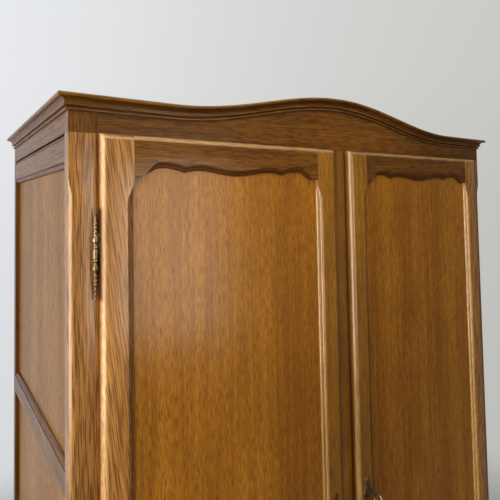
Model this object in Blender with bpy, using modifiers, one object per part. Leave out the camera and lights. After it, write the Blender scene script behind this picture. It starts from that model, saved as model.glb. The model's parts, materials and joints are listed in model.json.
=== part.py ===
"""A two-door oak wardrobe with an arched crown, as separate pieces of joinery.

Metres, +Z up. The front faces -Y, and the origin is on the floor under the middle of the whole.
Inside this file a place is given in the carcass frame: X from the middle, Y from the front face
of the posts towards the back, Z from the floor. A side is -1 for the left and 1 for the right.
"""

from math import cos, pi, sin

import bmesh
import bpy
from mathutils import Matrix, Vector

# Carcass
WIDTH = 1.300
DEPTH = 0.625
CARCASS_HEIGHT = 1.873
FOOT_HEIGHT = 0.040
GAP = 0.0003
SIDES = {"left": -1, "right": 1}

# Posts and the stopped round on their outer corner
POST_WIDTH = 0.066
POST_THICKNESS = 0.024
REAR_POST_WIDTH = 0.045
CENTRE_POST_WIDTH = 0.080
CORNER_ROUND = 0.0105
CORNER_STOP_ABOVE = 0.075
CORNER_STOP_BELOW = 0.190
CORNER_TONGUE = 0.040

# Framed sides
RAIL_HEIGHT = 0.062
BOTTOM_RAIL_HEIGHT = 0.088
RAIL_THICKNESS = 0.024
RAIL_MOULDING = 0.010
QUIRK_WIDTH = 0.0015
QUIRK_DEPTH = 0.0030
OVOLO_SETBACK = 0.0008
SIDE_PANEL_THICKNESS = 0.008
GROOVE_DEPTH = 0.009
SIDE_PANELS = ("lower", "middle", "upper")
SIDE_RAILS = ("bottom", "lower", "upper", "top")

# Front frame, back and bottom
FRONT_RAIL_HEIGHT = 0.045
APRON_RISE = 0.026
APRON_CURVE_RUN = 0.420
BACK_THICKNESS = 0.006
BACK_REBATE_WIDTH = 0.012
BACK_REBATE_DEPTH = 0.008
BOTTOM_THICKNESS = 0.018
BOTTOM_DROP = 0.010

# Crown
CROWN_HEIGHT = 0.066
ARCH_RISE = 0.061
ARCH_HALF_RUN = 0.455
ARCH_STEPS = 32
STUB_WIDTH = 0.052
FRIEZE_THICKNESS = 0.022
CROWN_SIDE_THICKNESS = 0.016
CROWN_PANEL_THICKNESS = 0.010

# Cornice moulding, from its top: lip, cove, bead, quirk and small bead
CORNICE_PROJECTION = 0.020
LIP_HEIGHT = 0.0075
LIP_ROUND = 0.0035
COVE_HEIGHT = 0.0095
BEAD_HEIGHT = 0.0036
BEAD_PROJECTION = 0.0085
QUIRK_HEIGHT = 0.0034
SMALL_BEAD_HEIGHT = 0.0040
SMALL_BEAD_PROJECTION = 0.0050

# Doors
DOOR_THICKNESS = 0.022
DOOR_GAP = 0.001
DOOR_REVEAL = 0.051
DOOR_PARTING = 0.050
DOOR_TOP_DROP = 0.001
DOOR_BOTTOM = 0.115
DOOR_OVERLAP = 0.012
STILE_WIDTH = 0.0605
EDGE_ROUND = 0.012
END_ROUND_HEIGHT = 0.0075
DOOR_PANEL_THICKNESS = 0.007
DOOR_PANEL_SETBACK = 0.011
STILE_MOULDING = 0.0135
DOOR_QUIRK = 0.0008
FIRST_ROUND_SHARE = 0.50
SHELF_SHARE = 0.07
STILE_STOP = 0.081
STILE_TONGUE = 0.046
BOTTOM_DOOR_RAIL = 0.0850

# Scalloped edge of a door's top rail: depths under the door's top, places as shares of the half rail
SCALLOP_CENTRE_DEPTH = 0.0605
SCALLOP_INNER_HUMP_DEPTH = 0.0510
SCALLOP_CUSP_DEPTH = 0.0562
SCALLOP_OUTER_HUMP_DEPTH = 0.0478
SCALLOP_END_DEPTH = 0.0760
SCALLOP_INNER_HUMP_AT = 0.395
SCALLOP_CUSP_AT = 0.535
SCALLOP_OUTER_HUMP_AT = 0.72
SCALLOP_END_AT = 0.935
SCALLOP_OGEE_POWER = 1.75
SCALLOP_MOULDING = 0.0115
SCALLOP_STOP_AT = 0.82
DOOR_PANEL_TONGUE = 0.011

# Hinges: a turned barrel with finials, and two leaves let into post and stile
HINGE_SET = 0.215
HINGE_OFFSET = 0.0065
HINGE_STANDOFF = 0.008
HINGE_RADIUS = 0.0060
HINGE_HALF_LENGTH = 0.0815
HINGE_SIDES = 12
HINGE_PIN_RADIUS = 0.0025
HINGE_PIN_LENGTH = 0.025
LEAF_THICKNESS = 0.0025
LEAF_HEIGHT = 0.036
LEAF_DEPTH = 0.018

# Locks and keys
LOCK_HEIGHT = 1.020
KEY_BACKSET = 0.030
LOCK_CASE_WIDTH = 0.043
LOCK_CASE_HEIGHT = 0.060
LOCK_CASE_DEPTH = 0.0135
LOCK_WALL = 0.0015
LOCK_POST_CLEARANCE = 0.002
BOLT_LENGTH = 0.032
BOLT_HEIGHT = 0.012
BOLT_THICKNESS = 0.006
BOLT_RISE = 0.0095
BOLT_SETBACK = 0.003
BOLT_THROW = 0.010
MORTISE_SPARE = 0.003
KEY_SHANK_RADIUS = 0.0025
KEY_SHANK_LENGTH = 0.012
KEY_COLLAR_RADIUS = 0.0045
KEY_COLLAR_LENGTH = 0.003
KEY_BIT_REACH = 0.0085
KEY_BIT_LENGTH = 0.006
KEY_BIT_THICKNESS = 0.0025
KEY_BOW_HEIGHT = 0.028
KEY_BOW_LENGTH = 0.030
KEY_BOW_BAND = 0.0050
KEY_BOW_THICKNESS = 0.0036
KEY_SIDES = 14
ESCUTCHEON_HEIGHT = 0.080
ESCUTCHEON_WIDTH = 0.030
ESCUTCHEON_THICKNESS = 0.0015
ESCUTCHEON_STEPS = 24

# Inside
HAT_SPACE = 0.235
SHELF_THICKNESS = 0.018
SHELF_INSET = 0.010
PEG_RADIUS = 0.005
PEG_LENGTH = 0.026
PEG_SIDES = 10
RAIL_TUBE_RADIUS = 0.0125
RAIL_DROP = 0.060
RAIL_BEND = 0.040
RAIL_END_INSET = 0.050
RAIL_BEND_STEPS = 6

# Worked out from the sizes above
HALF_WIDTH = WIDTH / 2
CROWN_BOTTOM = CARCASS_HEIGHT + GAP
CROWN_END_TOP = CARCASS_HEIGHT + CROWN_HEIGHT
REAR_POST_FRONT = DEPTH - POST_THICKNESS
PANEL_SETBACK = RAIL_MOULDING
GROOVE_FRONT = PANEL_SETBACK - GAP
GROOVE_BACK = PANEL_SETBACK + SIDE_PANEL_THICKNESS + GAP
SIDE_OPENING = (
    CARCASS_HEIGHT - FOOT_HEIGHT - BOTTOM_RAIL_HEIGHT - len(SIDE_PANELS) * RAIL_HEIGHT
) / len(SIDE_PANELS)
DOOR_OUTER = HALF_WIDTH - DOOR_REVEAL
DOOR_INNER = DOOR_PARTING / 2
DOOR_TOP = CARCASS_HEIGHT - DOOR_TOP_DROP
DOOR_FACE = -DOOR_GAP - DOOR_THICKNESS
DOOR_BACK = -DOOR_GAP
DOOR_GROOVE_FRONT = DOOR_FACE + DOOR_PANEL_SETBACK - GAP
DOOR_GROOVE_BACK = DOOR_FACE + DOOR_PANEL_SETBACK + DOOR_PANEL_THICKNESS + GAP
DOOR_MIDDLE = (DOOR_OUTER + DOOR_INNER) / 2
DOOR_RAIL_HALF = (DOOR_OUTER - DOOR_INNER) / 2 - STILE_WIDTH - GAP
HINGE_X = DOOR_OUTER + HINGE_OFFSET
HINGE_Y = -HINGE_STANDOFF
HINGE_HEIGHTS = {"upper": DOOR_TOP - HINGE_SET, "lower": DOOR_BOTTOM + HINGE_SET}
KEY_X = DOOR_INNER + KEY_BACKSET
PLATE_FACE = DOOR_FACE - GAP - ESCUTCHEON_THICKNESS
COLLAR_BACK = PLATE_FACE - GAP
COLLAR_FACE = COLLAR_BACK - KEY_COLLAR_LENGTH
BOW_BACK = COLLAR_FACE - KEY_SHANK_LENGTH
KEY_TIP = BOW_BACK - KEY_BOW_LENGTH
LOCK_FRONT = DOOR_BACK + GAP
LOCK_BACK = LOCK_FRONT + LOCK_CASE_DEPTH
LOCK_NEAR = CENTRE_POST_WIDTH / 2 + LOCK_POST_CLEARANCE
LOCK_FAR = LOCK_NEAR + LOCK_CASE_WIDTH
APRON_TOP = DOOR_BOTTOM + DOOR_OVERLAP
BOTTOM_TOP = APRON_TOP - BOTTOM_DROP
SHELF_HEIGHT = CARCASS_HEIGHT - HAT_SPACE - SHELF_THICKNESS
FRONT_FACE_Y = -(DEPTH + KEY_TIP) / 2


def ease(share):
    """A smooth run from 0 to 1, level at both ends."""
    share = min(max(share, 0.0), 1.0)
    return (1 - cos(pi * share)) / 2


def spread(start, end, steps):
    return [start + (end - start) * i / steps for i in range(steps + 1)]


def arc(centre, reach, start, end, steps):
    """Points on an ellipse's arc, its angles in quarter turns."""
    turns = spread(start, end, steps)
    return [(centre[0] + reach[0] * cos(pi / 2 * t), centre[1] + reach[1] * sin(pi / 2 * t)) for t in turns]


# Scene, finishes and pivots

for old in list(bpy.data.objects):
    bpy.data.objects.remove(old)

PARTS = bpy.data.collections.new("wardrobe")
CUTTERS = bpy.data.collections.new("wardrobe_cutters")
bpy.context.scene.collection.children.link(PARTS)
bpy.context.scene.collection.children.link(CUTTERS)


def finish(name, colour, roughness, metallic):
    made = bpy.data.materials.new(name)
    made.use_nodes = True
    shader = made.node_tree.nodes["Principled BSDF"]
    shader.inputs["Base Color"].default_value = (*colour, 1.0)
    shader.inputs["Roughness"].default_value = roughness
    shader.inputs["Metallic"].default_value = metallic
    return made


OAK = finish("lacquered_oak", (0.270, 0.130, 0.047), 0.38, 0.0)
VENEER = finish("oak_veneer", (0.300, 0.150, 0.055), 0.42, 0.0)
PLYWOOD = finish("plywood", (0.420, 0.270, 0.140), 0.60, 0.0)
BRASS = finish("antique_brass", (0.200, 0.140, 0.060), 0.38, 1.0)
STEEL = finish("lock_steel", (0.330, 0.310, 0.280), 0.45, 1.0)

PIVOTS = {}


def pivot(name, point, parent=None):
    """An empty on a joint's axis, or the empty that carries the whole wardrobe."""
    empty = bpy.data.objects.new(name, None)
    PARTS.objects.link(empty)
    PIVOTS[name] = Vector(point)
    empty.parent = parent
    empty.location = PIVOTS[name] - (PIVOTS[parent.name] if parent else Vector())
    return empty


CARCASS = pivot("wardrobe_frame", (0, 0, 0))
CARCASS.location = (0, FRONT_FACE_Y, 0)


def closed_mesh(bm, name):
    bmesh.ops.remove_doubles(bm, verts=bm.verts, dist=0.000001)
    bmesh.ops.recalc_face_normals(bm, faces=bm.faces)
    mesh = bpy.data.meshes.new(name)
    bm.to_mesh(mesh)
    bm.free()
    return mesh


def piece(name, bm, material, parent=CARCASS, at=(0, 0, 0)):
    """A named piece of the wardrobe, given in the carcass frame and carried by its pivot."""
    made = bpy.data.objects.new(name, closed_mesh(bm, name))
    made.data.materials.append(material)
    PARTS.objects.link(made)
    made.parent = parent
    made.location = Vector(at) - PIVOTS[parent.name]
    return made


def tool(name, bm, parent=CARCASS):
    """A shape that cuts or joins a piece and isn't one itself."""
    made = piece(name, bm, OAK, parent)
    PARTS.objects.unlink(made)
    CUTTERS.objects.link(made)
    made.hide_render = True
    made.display_type = "WIRE"
    return made


def apply_tool(target, made, operation="DIFFERENCE"):
    boolean = target.modifiers.new(made.name, "BOOLEAN")
    boolean.operation = operation
    boolean.object = made


# Ways of making a solid

def block(corner, opposite):
    bm = bmesh.new()
    bmesh.ops.create_cube(bm, size=1.0)
    first, second = Vector(corner), Vector(opposite)
    size = [abs(second[i] - first[i]) for i in range(3)]
    bmesh.ops.scale(bm, vec=size, verts=bm.verts)
    bmesh.ops.translate(bm, vec=(first + second) / 2, verts=bm.verts)
    return bm


def rod(start, end, radius, sides):
    """A round bar between two points on a line along Y."""
    bm = bmesh.new()
    bmesh.ops.create_cone(
        bm, cap_ends=True, segments=sides, radius1=radius, radius2=radius, depth=abs(end[1] - start[1])
    )
    bmesh.ops.rotate(bm, cent=(0, 0, 0), matrix=Matrix.Rotation(pi / 2, 3, "X"), verts=bm.verts)
    bmesh.ops.translate(bm, vec=(Vector(start) + Vector(end)) / 2, verts=bm.verts)
    return bm


def loft(rings):
    """A solid through sections with equal numbers of points, closed by its first and last."""
    bm = bmesh.new()
    rows = [[bm.verts.new(point) for point in ring] for ring in rings]
    for near, far in zip(rows, rows[1:]):
        for i in range(len(near)):
            j = (i + 1) % len(near)
            bm.faces.new((near[i], near[j], far[j], far[i]))
    bm.faces.new(rows[0])
    bm.faces.new(rows[-1])
    return bm


AXES = {"X": ("Y", "Z", "X"), "Y": ("X", "Z", "Y"), "Z": ("X", "Y", "Z")}
UNITS = {"X": Vector((1, 0, 0)), "Y": Vector((0, 1, 0)), "Z": Vector((0, 0, 1))}


def extrusion(outlines, axis, start, end):
    """A flat outline, with any holes after it, carried straight along an axis."""
    curve = bpy.data.curves.new("outline", "CURVE")
    curve.dimensions = "2D"
    curve.fill_mode = "BOTH"
    curve.extrude = abs(end - start) / 2
    for points in outlines:
        spline = curve.splines.new("POLY")
        spline.points.add(len(points) - 1)
        spline.use_cyclic_u = True
        for knot, (across, up) in zip(spline.points, points):
            knot.co = (across, up, 0, 1)
    holder = bpy.data.objects.new("outline", curve)
    bpy.context.scene.collection.objects.link(holder)
    evaluated = holder.evaluated_get(bpy.context.evaluated_depsgraph_get())
    mesh = bpy.data.meshes.new_from_object(evaluated)
    bpy.data.objects.remove(holder)
    bm = bmesh.new()
    bm.from_mesh(mesh)
    bpy.data.meshes.remove(mesh)
    turned = Matrix([UNITS[name] for name in AXES[axis]]).transposed().to_4x4()
    turned.translation = UNITS[axis] * (start + end) / 2
    bmesh.ops.transform(bm, matrix=turned, verts=bm.verts)
    return bm


def turning(made, profile, sides):
    """Turn a piece's profile, radius and height from the top down, about its own Z axis."""
    bm = bmesh.new()
    knots = [bm.verts.new((radius, 0, height)) for radius, height in profile]
    for upper, lower in zip(knots, knots[1:]):
        bm.edges.new((upper, lower))
    bm.to_mesh(made.data)
    bm.free()
    screw = made.modifiers.new("turning", "SCREW")
    screw.steps = sides
    screw.render_steps = sides
    screw.use_merge_vertices = True
    screw.merge_threshold = 0.00001
    screw.use_normal_calculate = True


# Crown

def arch(x):
    """Height of the crown's top: level at the ends, with a smooth hump in the middle."""
    return CROWN_END_TOP + ARCH_RISE * ease(1 - abs(x) / ARCH_HALF_RUN)


def cornice_profile():
    """Projection and depth under the top, from the back of the top round to the back of the foot."""
    cove_top = LIP_HEIGHT
    bead_top = cove_top + COVE_HEIGHT
    quirk_top = bead_top + BEAD_HEIGHT
    small_top = quirk_top + QUIRK_HEIGHT
    foot = small_top + SMALL_BEAD_HEIGHT
    lip_foot = CORNICE_PROJECTION - LIP_ROUND
    bead_core = BEAD_PROJECTION - BEAD_HEIGHT / 2
    cove_reach = lip_foot - bead_core
    small_core = SMALL_BEAD_PROJECTION - SMALL_BEAD_HEIGHT / 2
    points = [(GAP, 0.0), (CORNICE_PROJECTION - LIP_ROUND / 4, 0.0), (CORNICE_PROJECTION, LIP_ROUND / 4)]
    points += arc((lip_foot, LIP_HEIGHT - LIP_ROUND), (LIP_ROUND, LIP_ROUND), 0, 1, 3)
    points += arc((lip_foot, bead_top), (cove_reach, COVE_HEIGHT), 3, 2, 4)[1:]
    points += arc((bead_core, bead_top + BEAD_HEIGHT / 2), (BEAD_HEIGHT / 2, BEAD_HEIGHT / 2), -1, 1, 4)[1:]
    points += [(small_core, quirk_top), (small_core, small_top)]
    small_reach = (SMALL_BEAD_HEIGHT / 2, SMALL_BEAD_HEIGHT / 2)
    points += arc((small_core, small_top + SMALL_BEAD_HEIGHT / 2), small_reach, -1, 1, 4)[1:]
    return points + [(GAP, foot)]


def crown():
    profile = cornice_profile()
    places = spread(-ARCH_HALF_RUN, ARCH_HALF_RUN, ARCH_STEPS)
    rings = [[(-HALF_WIDTH - out + GAP, -out, CROWN_END_TOP - drop) for out, drop in profile]]
    rings += [[(x, -out, arch(x) - drop) for out, drop in profile] for x in places]
    rings += [[(HALF_WIDTH + out - GAP, -out, CROWN_END_TOP - drop) for out, drop in profile]]
    piece("cornice_front", loft(rings), OAK)

    stub_edge = HALF_WIDTH - STUB_WIDTH
    top = [(x, arch(x)) for x in places]
    ends = [(stub_edge - GAP, CROWN_END_TOP), (stub_edge - GAP, CROWN_BOTTOM)]
    outline = top + ends + [(-x, z) for x, z in reversed(ends)]
    piece("crown_frieze", extrusion([outline], "Y", 0, FRIEZE_THICKNESS), OAK)

    inside = HALF_WIDTH - CROWN_SIDE_THICKNESS
    behind_stub = POST_THICKNESS + GAP
    for name, side in SIDES.items():
        start = [(side * (HALF_WIDTH + out), GAP - out, CROWN_END_TOP - drop) for out, drop in profile]
        stop = [(x, DEPTH, z) for x, _, z in start]
        piece(f"cornice_{name}", loft([start, stop]), OAK)
        stub = block((side * stub_edge, 0, CROWN_BOTTOM), (side * HALF_WIDTH, POST_THICKNESS, CROWN_END_TOP))
        piece(f"crown_stub_{name}", stub, OAK)
        board = block((side * inside, behind_stub, CROWN_BOTTOM), (side * HALF_WIDTH, DEPTH, CROWN_END_TOP))
        piece(f"crown_side_{name}", board, OAK)

    low = (GAP - inside, behind_stub, CROWN_BOTTOM)
    high = (inside - GAP, DEPTH, CROWN_BOTTOM + CROWN_PANEL_THICKNESS)
    piece("crown_top_panel", block(low, high), PLYWOOD)


# Framed sides

def corner_round(z):
    """Radius of the front post's outer corner: it runs out in a tongue at both ends."""
    above = ease((CARCASS_HEIGHT - CORNER_STOP_ABOVE - z) / CORNER_TONGUE)
    below = ease((z - CORNER_STOP_BELOW) / CORNER_TONGUE)
    return max(CORNER_ROUND * min(above, below), GAP)


def front_post(name, side):
    def section(z):
        radius = corner_round(z)
        inner = POST_WIDTH
        ring = arc((radius, radius), (radius, radius), 2, 3, 4)
        ring += [(inner, 0), (inner, POST_THICKNESS), (GROOVE_BACK, POST_THICKNESS)]
        ring += [(GROOVE_BACK, POST_THICKNESS - GROOVE_DEPTH), (GROOVE_FRONT, POST_THICKNESS - GROOVE_DEPTH)]
        ring += [(GROOVE_FRONT, POST_THICKNESS), (0, POST_THICKNESS)]
        return [(side * (HALF_WIDTH - inward), y, z) for inward, y in ring]

    upper_stop = CARCASS_HEIGHT - CORNER_STOP_ABOVE
    heights = spread(CORNER_STOP_BELOW, CORNER_STOP_BELOW + CORNER_TONGUE, 6)
    heights += spread(upper_stop - CORNER_TONGUE, upper_stop, 6)
    made = piece(f"front_post_{name}", loft([section(z) for z in [0, *heights, CARCASS_HEIGHT]]), OAK)
    for place, height in HINGE_HEIGHTS.items():
        slot = block(
            (side * (HINGE_X - LEAF_THICKNESS / 2 - GAP), -POST_THICKNESS, height - LEAF_HEIGHT - 2 * GAP),
            (side * (HINGE_X + LEAF_THICKNESS / 2 + GAP), LEAF_DEPTH + GAP, height),
        )
        apply_tool(made, tool(f"slot_post_{place}_{name}", slot))
    return made


def rear_post(name, side):
    rebate_x = REAR_POST_WIDTH - BACK_REBATE_WIDTH
    rebate_y = DEPTH - BACK_REBATE_DEPTH
    groove_end = REAR_POST_FRONT + GROOVE_DEPTH
    ring = [(0, REAR_POST_FRONT), (GROOVE_FRONT, REAR_POST_FRONT), (GROOVE_FRONT, groove_end)]
    ring += [(GROOVE_BACK, groove_end), (GROOVE_BACK, REAR_POST_FRONT), (REAR_POST_WIDTH, REAR_POST_FRONT)]
    ring += [(REAR_POST_WIDTH, rebate_y), (rebate_x, rebate_y), (rebate_x, DEPTH), (0, DEPTH)]
    outline = [(side * (HALF_WIDTH - inward), y) for inward, y in ring]
    return piece(f"rear_post_{name}", extrusion([outline], "Z", 0, CARCASS_HEIGHT), OAK)


def add_pegs(name, side, front, rear):
    """Pegs in the posts that carry the hat shelf, one with each post."""
    x = side * (HALF_WIDTH - (GROOVE_BACK + REAR_POST_WIDTH) / 2)
    z = SHELF_HEIGHT - PEG_RADIUS - GAP
    rooted = POST_THICKNESS / 2
    starts = {front: POST_THICKNESS - rooted, rear: REAR_POST_FRONT - PEG_LENGTH}
    for made, start in starts.items():
        peg = rod((x, start, z), (x, start + rooted + PEG_LENGTH, z), PEG_RADIUS, PEG_SIDES)
        apply_tool(made, tool(f"peg_{made.name}", peg), "UNION")


def rail_moulding():
    """Quirk and ovolo on a side rail's edge: setback from the face, depth under the edge."""
    foot = RAIL_MOULDING - QUIRK_WIDTH
    quirk = [(0.0, RAIL_MOULDING), (QUIRK_DEPTH, RAIL_MOULDING), (QUIRK_DEPTH, foot)]
    return quirk + arc((GROOVE_FRONT, foot), (GROOVE_FRONT - OVOLO_SETBACK, foot), 2, 3, 4)


def side_rail(name, side, place, low, high):
    back = RAIL_THICKNESS
    edge = rail_moulding()
    upper = [(inward, high - drop) for inward, drop in edge]
    lower = [(inward, low + drop) for inward, drop in edge]
    groove = [(GROOVE_FRONT, GROOVE_DEPTH), (GROOVE_BACK, GROOVE_DEPTH), (GROOVE_BACK, 0.0)]
    if place != "top":
        upper += [(inward, high - drop) for inward, drop in groove]
    lower += [(inward, low + drop) for inward, drop in groove]
    if place == "bottom":
        lower = [(0.0, low)]
    ring = upper + [(back, high), (back, low)] + lower[::-1]
    outline = [(side * (HALF_WIDTH - inward), z) for inward, z in ring]
    bm = extrusion([outline], "Y", POST_THICKNESS + GAP, REAR_POST_FRONT - GAP)
    return piece(f"side_{place}_rail_{name}", bm, OAK)


def framed_side(name, side):
    front = front_post(name, side)
    rear = rear_post(name, side)
    add_pegs(name, side, front, rear)
    low = FOOT_HEIGHT
    height = BOTTOM_RAIL_HEIGHT
    tongue = GROOVE_DEPTH - GAP
    edges = []
    for place in SIDE_RAILS:
        rail = side_rail(name, side, place, low, low + height)
        if place == "bottom":
            groove = (BOTTOM_TOP - BOTTOM_THICKNESS - GAP, BOTTOM_TOP + GAP)
            floor = block(
                (side * (HALF_WIDTH - RAIL_THICKNESS + GROOVE_DEPTH), 0, groove[0]),
                (0, DEPTH, groove[1]),
            )
            apply_tool(rail, tool(f"bottom_groove_{name}", floor))
        edges.append((low, low + height))
        low += height + SIDE_OPENING
        height = RAIL_HEIGHT
    outer = HALF_WIDTH - PANEL_SETBACK
    for place, under, over in zip(SIDE_PANELS, edges, edges[1:]):
        bm = block(
            (side * outer, POST_THICKNESS - tongue, under[1] - tongue),
            (side * (outer - SIDE_PANEL_THICKNESS), REAR_POST_FRONT + tongue, over[0] + tongue),
        )
        piece(f"side_{place}_panel_{name}", bm, VENEER)


# Front frame, back, bottom and the fittings inside

def front_frame():
    between = HALF_WIDTH - POST_WIDTH - GAP
    rail_low = CARCASS_HEIGHT - FRONT_RAIL_HEIGHT
    lap = POST_THICKNESS / 2
    post_half = CENTRE_POST_WIDTH / 2

    rail = piece(
        "front_top_rail",
        block((-between, 0, rail_low), (between, POST_THICKNESS, CARCASS_HEIGHT)),
        OAK,
    )
    notch = block((-post_half - GAP, -lap, 0), (post_half + GAP, lap + GAP, 2 * CARCASS_HEIGHT))
    apply_tool(rail, tool("lap_in_rail", notch))

    post = piece(
        "centre_post",
        block((-post_half, 0, APRON_TOP + GAP), (post_half, POST_THICKNESS, CARCASS_HEIGHT)),
        OAK,
    )
    half_lap = block((-WIDTH, lap, rail_low - GAP), (WIDTH, DEPTH, 2 * CARCASS_HEIGHT))
    apply_tool(post, tool("lap_in_post", half_lap))
    for name, side in SIDES.items():
        deep = post_half - (LOCK_NEAR - post_half) - BOLT_THROW
        y, z = LOCK_FRONT + BOLT_SETBACK, LOCK_HEIGHT + BOLT_RISE
        mortise = block(
            (side * (post_half - BOLT_THROW - MORTISE_SPARE), y - GAP, z - GAP),
            (side * (post_half + deep), y + BOLT_THICKNESS + GAP, z + BOLT_HEIGHT + GAP),
        )
        apply_tool(post, tool(f"bolt_mortise_{name}", mortise))

    curve = [(x, FOOT_HEIGHT + APRON_RISE * ease(1 - abs(x) / APRON_CURVE_RUN))
             for x in spread(-APRON_CURVE_RUN, APRON_CURVE_RUN, 24)]
    outline = [(-between, FOOT_HEIGHT)] + curve + [(between, FOOT_HEIGHT)]
    outline += [(between, APRON_TOP), (-between, APRON_TOP)]
    piece("front_apron", extrusion([outline], "Y", 0, POST_THICKNESS), OAK)


def closing_boards():
    across = HALF_WIDTH - REAR_POST_WIDTH + BACK_REBATE_WIDTH - GAP
    back_face = DEPTH - BACK_REBATE_DEPTH + GAP
    low = (-across, back_face, FOOT_HEIGHT)
    high = (across, back_face + BACK_THICKNESS, CARCASS_HEIGHT)
    piece("back_panel", block(low, high), PLYWOOD)

    wide = HALF_WIDTH - RAIL_THICKNESS + GROOVE_DEPTH - GAP
    narrow = HALF_WIDTH - REAR_POST_WIDTH - GAP
    front, step, back = POST_THICKNESS + GAP, REAR_POST_FRONT - GAP, back_face - GAP
    right = [(wide, front), (wide, step), (narrow, step), (narrow, back)]
    outline = right + [(-x, y) for x, y in reversed(right)]
    bottom = extrusion([outline], "Z", BOTTOM_TOP - BOTTOM_THICKNESS, BOTTOM_TOP)
    piece("bottom_panel", bottom, VENEER)


def inside_fittings():
    end = HALF_WIDTH - GROOVE_BACK
    low = (-end, POST_THICKNESS + SHELF_INSET, SHELF_HEIGHT)
    high = (end, REAR_POST_FRONT - SHELF_INSET, SHELF_HEIGHT + SHELF_THICKNESS)
    piece("hat_shelf", block(low, high), VENEER)

    top, bar = SHELF_HEIGHT - GAP, SHELF_HEIGHT - RAIL_DROP
    turn = end - RAIL_END_INSET
    bend = arc((turn - RAIL_BEND, bar + RAIL_BEND), (RAIL_BEND, RAIL_BEND), 4, 3, RAIL_BEND_STEPS)
    right = [(turn, top)] + bend
    path = right + [(-x, z) for x, z in reversed(right)]
    curve = bpy.data.curves.new("hanging_rail", "CURVE")
    curve.dimensions = "3D"
    curve.bevel_depth = RAIL_TUBE_RADIUS
    curve.bevel_resolution = 2
    curve.use_fill_caps = True
    spline = curve.splines.new("POLY")
    spline.points.add(len(path) - 1)
    for knot, (x, z) in zip(spline.points, path):
        knot.co = (x, DEPTH / 2, z, 1)
    made = bpy.data.objects.new("hanging_rail", curve)
    curve.materials.append(STEEL)
    PARTS.objects.link(made)
    made.parent = CARCASS


# Doors

def stile_arris(z):
    """Distance from the stile's outer edge to where its moulding starts: it runs out at both ends."""
    above = ease((DOOR_TOP - STILE_STOP - z) / STILE_TONGUE)
    below = ease((z - DOOR_BOTTOM - STILE_STOP) / STILE_TONGUE)
    return STILE_WIDTH - STILE_MOULDING * min(above, below)


def moulding_steps():
    """Two rounds, one under the other, from the face to the panel: share of the width, distance from the face."""
    deep = DOOR_GROOVE_FRONT - DOOR_FACE
    shelf = DOOR_QUIRK + (deep - DOOR_QUIRK) * FIRST_ROUND_SHARE
    second = FIRST_ROUND_SHARE + SHELF_SHARE
    upper = arc((0, shelf), (FIRST_ROUND_SHARE, DOOR_QUIRK - shelf), 1, 0, 3)
    lower = arc((second, deep), (1 - second, shelf - deep), 1, 0, 3)
    return [(0.0, 0.0)] + upper + lower


def stile(name, edge, inward, parent):
    """A stile from its outer edge at X; inward is the way to the panel, along X."""
    rounding = arc((EDGE_ROUND, DOOR_FACE + EDGE_ROUND), (EDGE_ROUND, EDGE_ROUND), 2, 3, 4)

    def section(z):
        arris = stile_arris(z)
        width = STILE_WIDTH - arris
        ring = [(0, DOOR_BACK)] + rounding
        ring += [(arris + width * share, DOOR_FACE + deep) for share, deep in moulding_steps()]
        ring += [(STILE_WIDTH - GROOVE_DEPTH, DOOR_GROOVE_FRONT), (STILE_WIDTH - GROOVE_DEPTH, DOOR_GROOVE_BACK)]
        ring += [(STILE_WIDTH, DOOR_GROOVE_BACK), (STILE_WIDTH, DOOR_BACK)]
        return [(edge + inward * across, y, z) for across, y in ring]

    low_stop, high_stop = DOOR_BOTTOM + STILE_STOP, DOOR_TOP - STILE_STOP
    heights = spread(low_stop, low_stop + STILE_TONGUE, 6) + spread(high_stop - STILE_TONGUE, high_stop, 6)
    return piece(name, loft([section(z) for z in [DOOR_BOTTOM, *heights, DOOR_TOP]]), OAK, parent)


def scallop(share):
    """Depth of the top rail's edge under the door's top, at a share of the half rail from its middle."""
    at = abs(share)
    if at < SCALLOP_INNER_HUMP_AT:
        fall = SCALLOP_CENTRE_DEPTH - SCALLOP_INNER_HUMP_DEPTH
        return SCALLOP_INNER_HUMP_DEPTH + fall * ease(1 - at / SCALLOP_INNER_HUMP_AT)
    if at < SCALLOP_CUSP_AT:
        run = (at - SCALLOP_INNER_HUMP_AT) / (SCALLOP_CUSP_AT - SCALLOP_INNER_HUMP_AT)
        return SCALLOP_INNER_HUMP_DEPTH + (SCALLOP_CUSP_DEPTH - SCALLOP_INNER_HUMP_DEPTH) * run ** 2
    if at < SCALLOP_OUTER_HUMP_AT:
        run = (SCALLOP_OUTER_HUMP_AT - at) / (SCALLOP_OUTER_HUMP_AT - SCALLOP_CUSP_AT)
        return SCALLOP_OUTER_HUMP_DEPTH + (SCALLOP_CUSP_DEPTH - SCALLOP_OUTER_HUMP_DEPTH) * run ** 2
    run = max(at - SCALLOP_OUTER_HUMP_AT, 0) / (SCALLOP_END_AT - SCALLOP_OUTER_HUMP_AT)
    fall = SCALLOP_END_DEPTH - SCALLOP_OUTER_HUMP_DEPTH
    return SCALLOP_OUTER_HUMP_DEPTH + fall * ease(min(run, 1) ** SCALLOP_OGEE_POWER)


def moulding_width(share):
    """Width of a rail's moulding, which runs out before it meets the stiles."""
    return SCALLOP_MOULDING * (1 - ease((abs(share) - SCALLOP_STOP_AT) / (SCALLOP_END_AT - SCALLOP_STOP_AT)))


def scallop_shares():
    half = spread(0, SCALLOP_INNER_HUMP_AT, 6)[:-1]
    half += spread(SCALLOP_INNER_HUMP_AT, SCALLOP_CUSP_AT, 3)[:-1]
    half += spread(SCALLOP_CUSP_AT, SCALLOP_OUTER_HUMP_AT, 4)[:-1]
    half += spread(SCALLOP_OUTER_HUMP_AT, SCALLOP_END_AT, 7) + [1.0]
    return [-share for share in half[:0:-1]] + half


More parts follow.
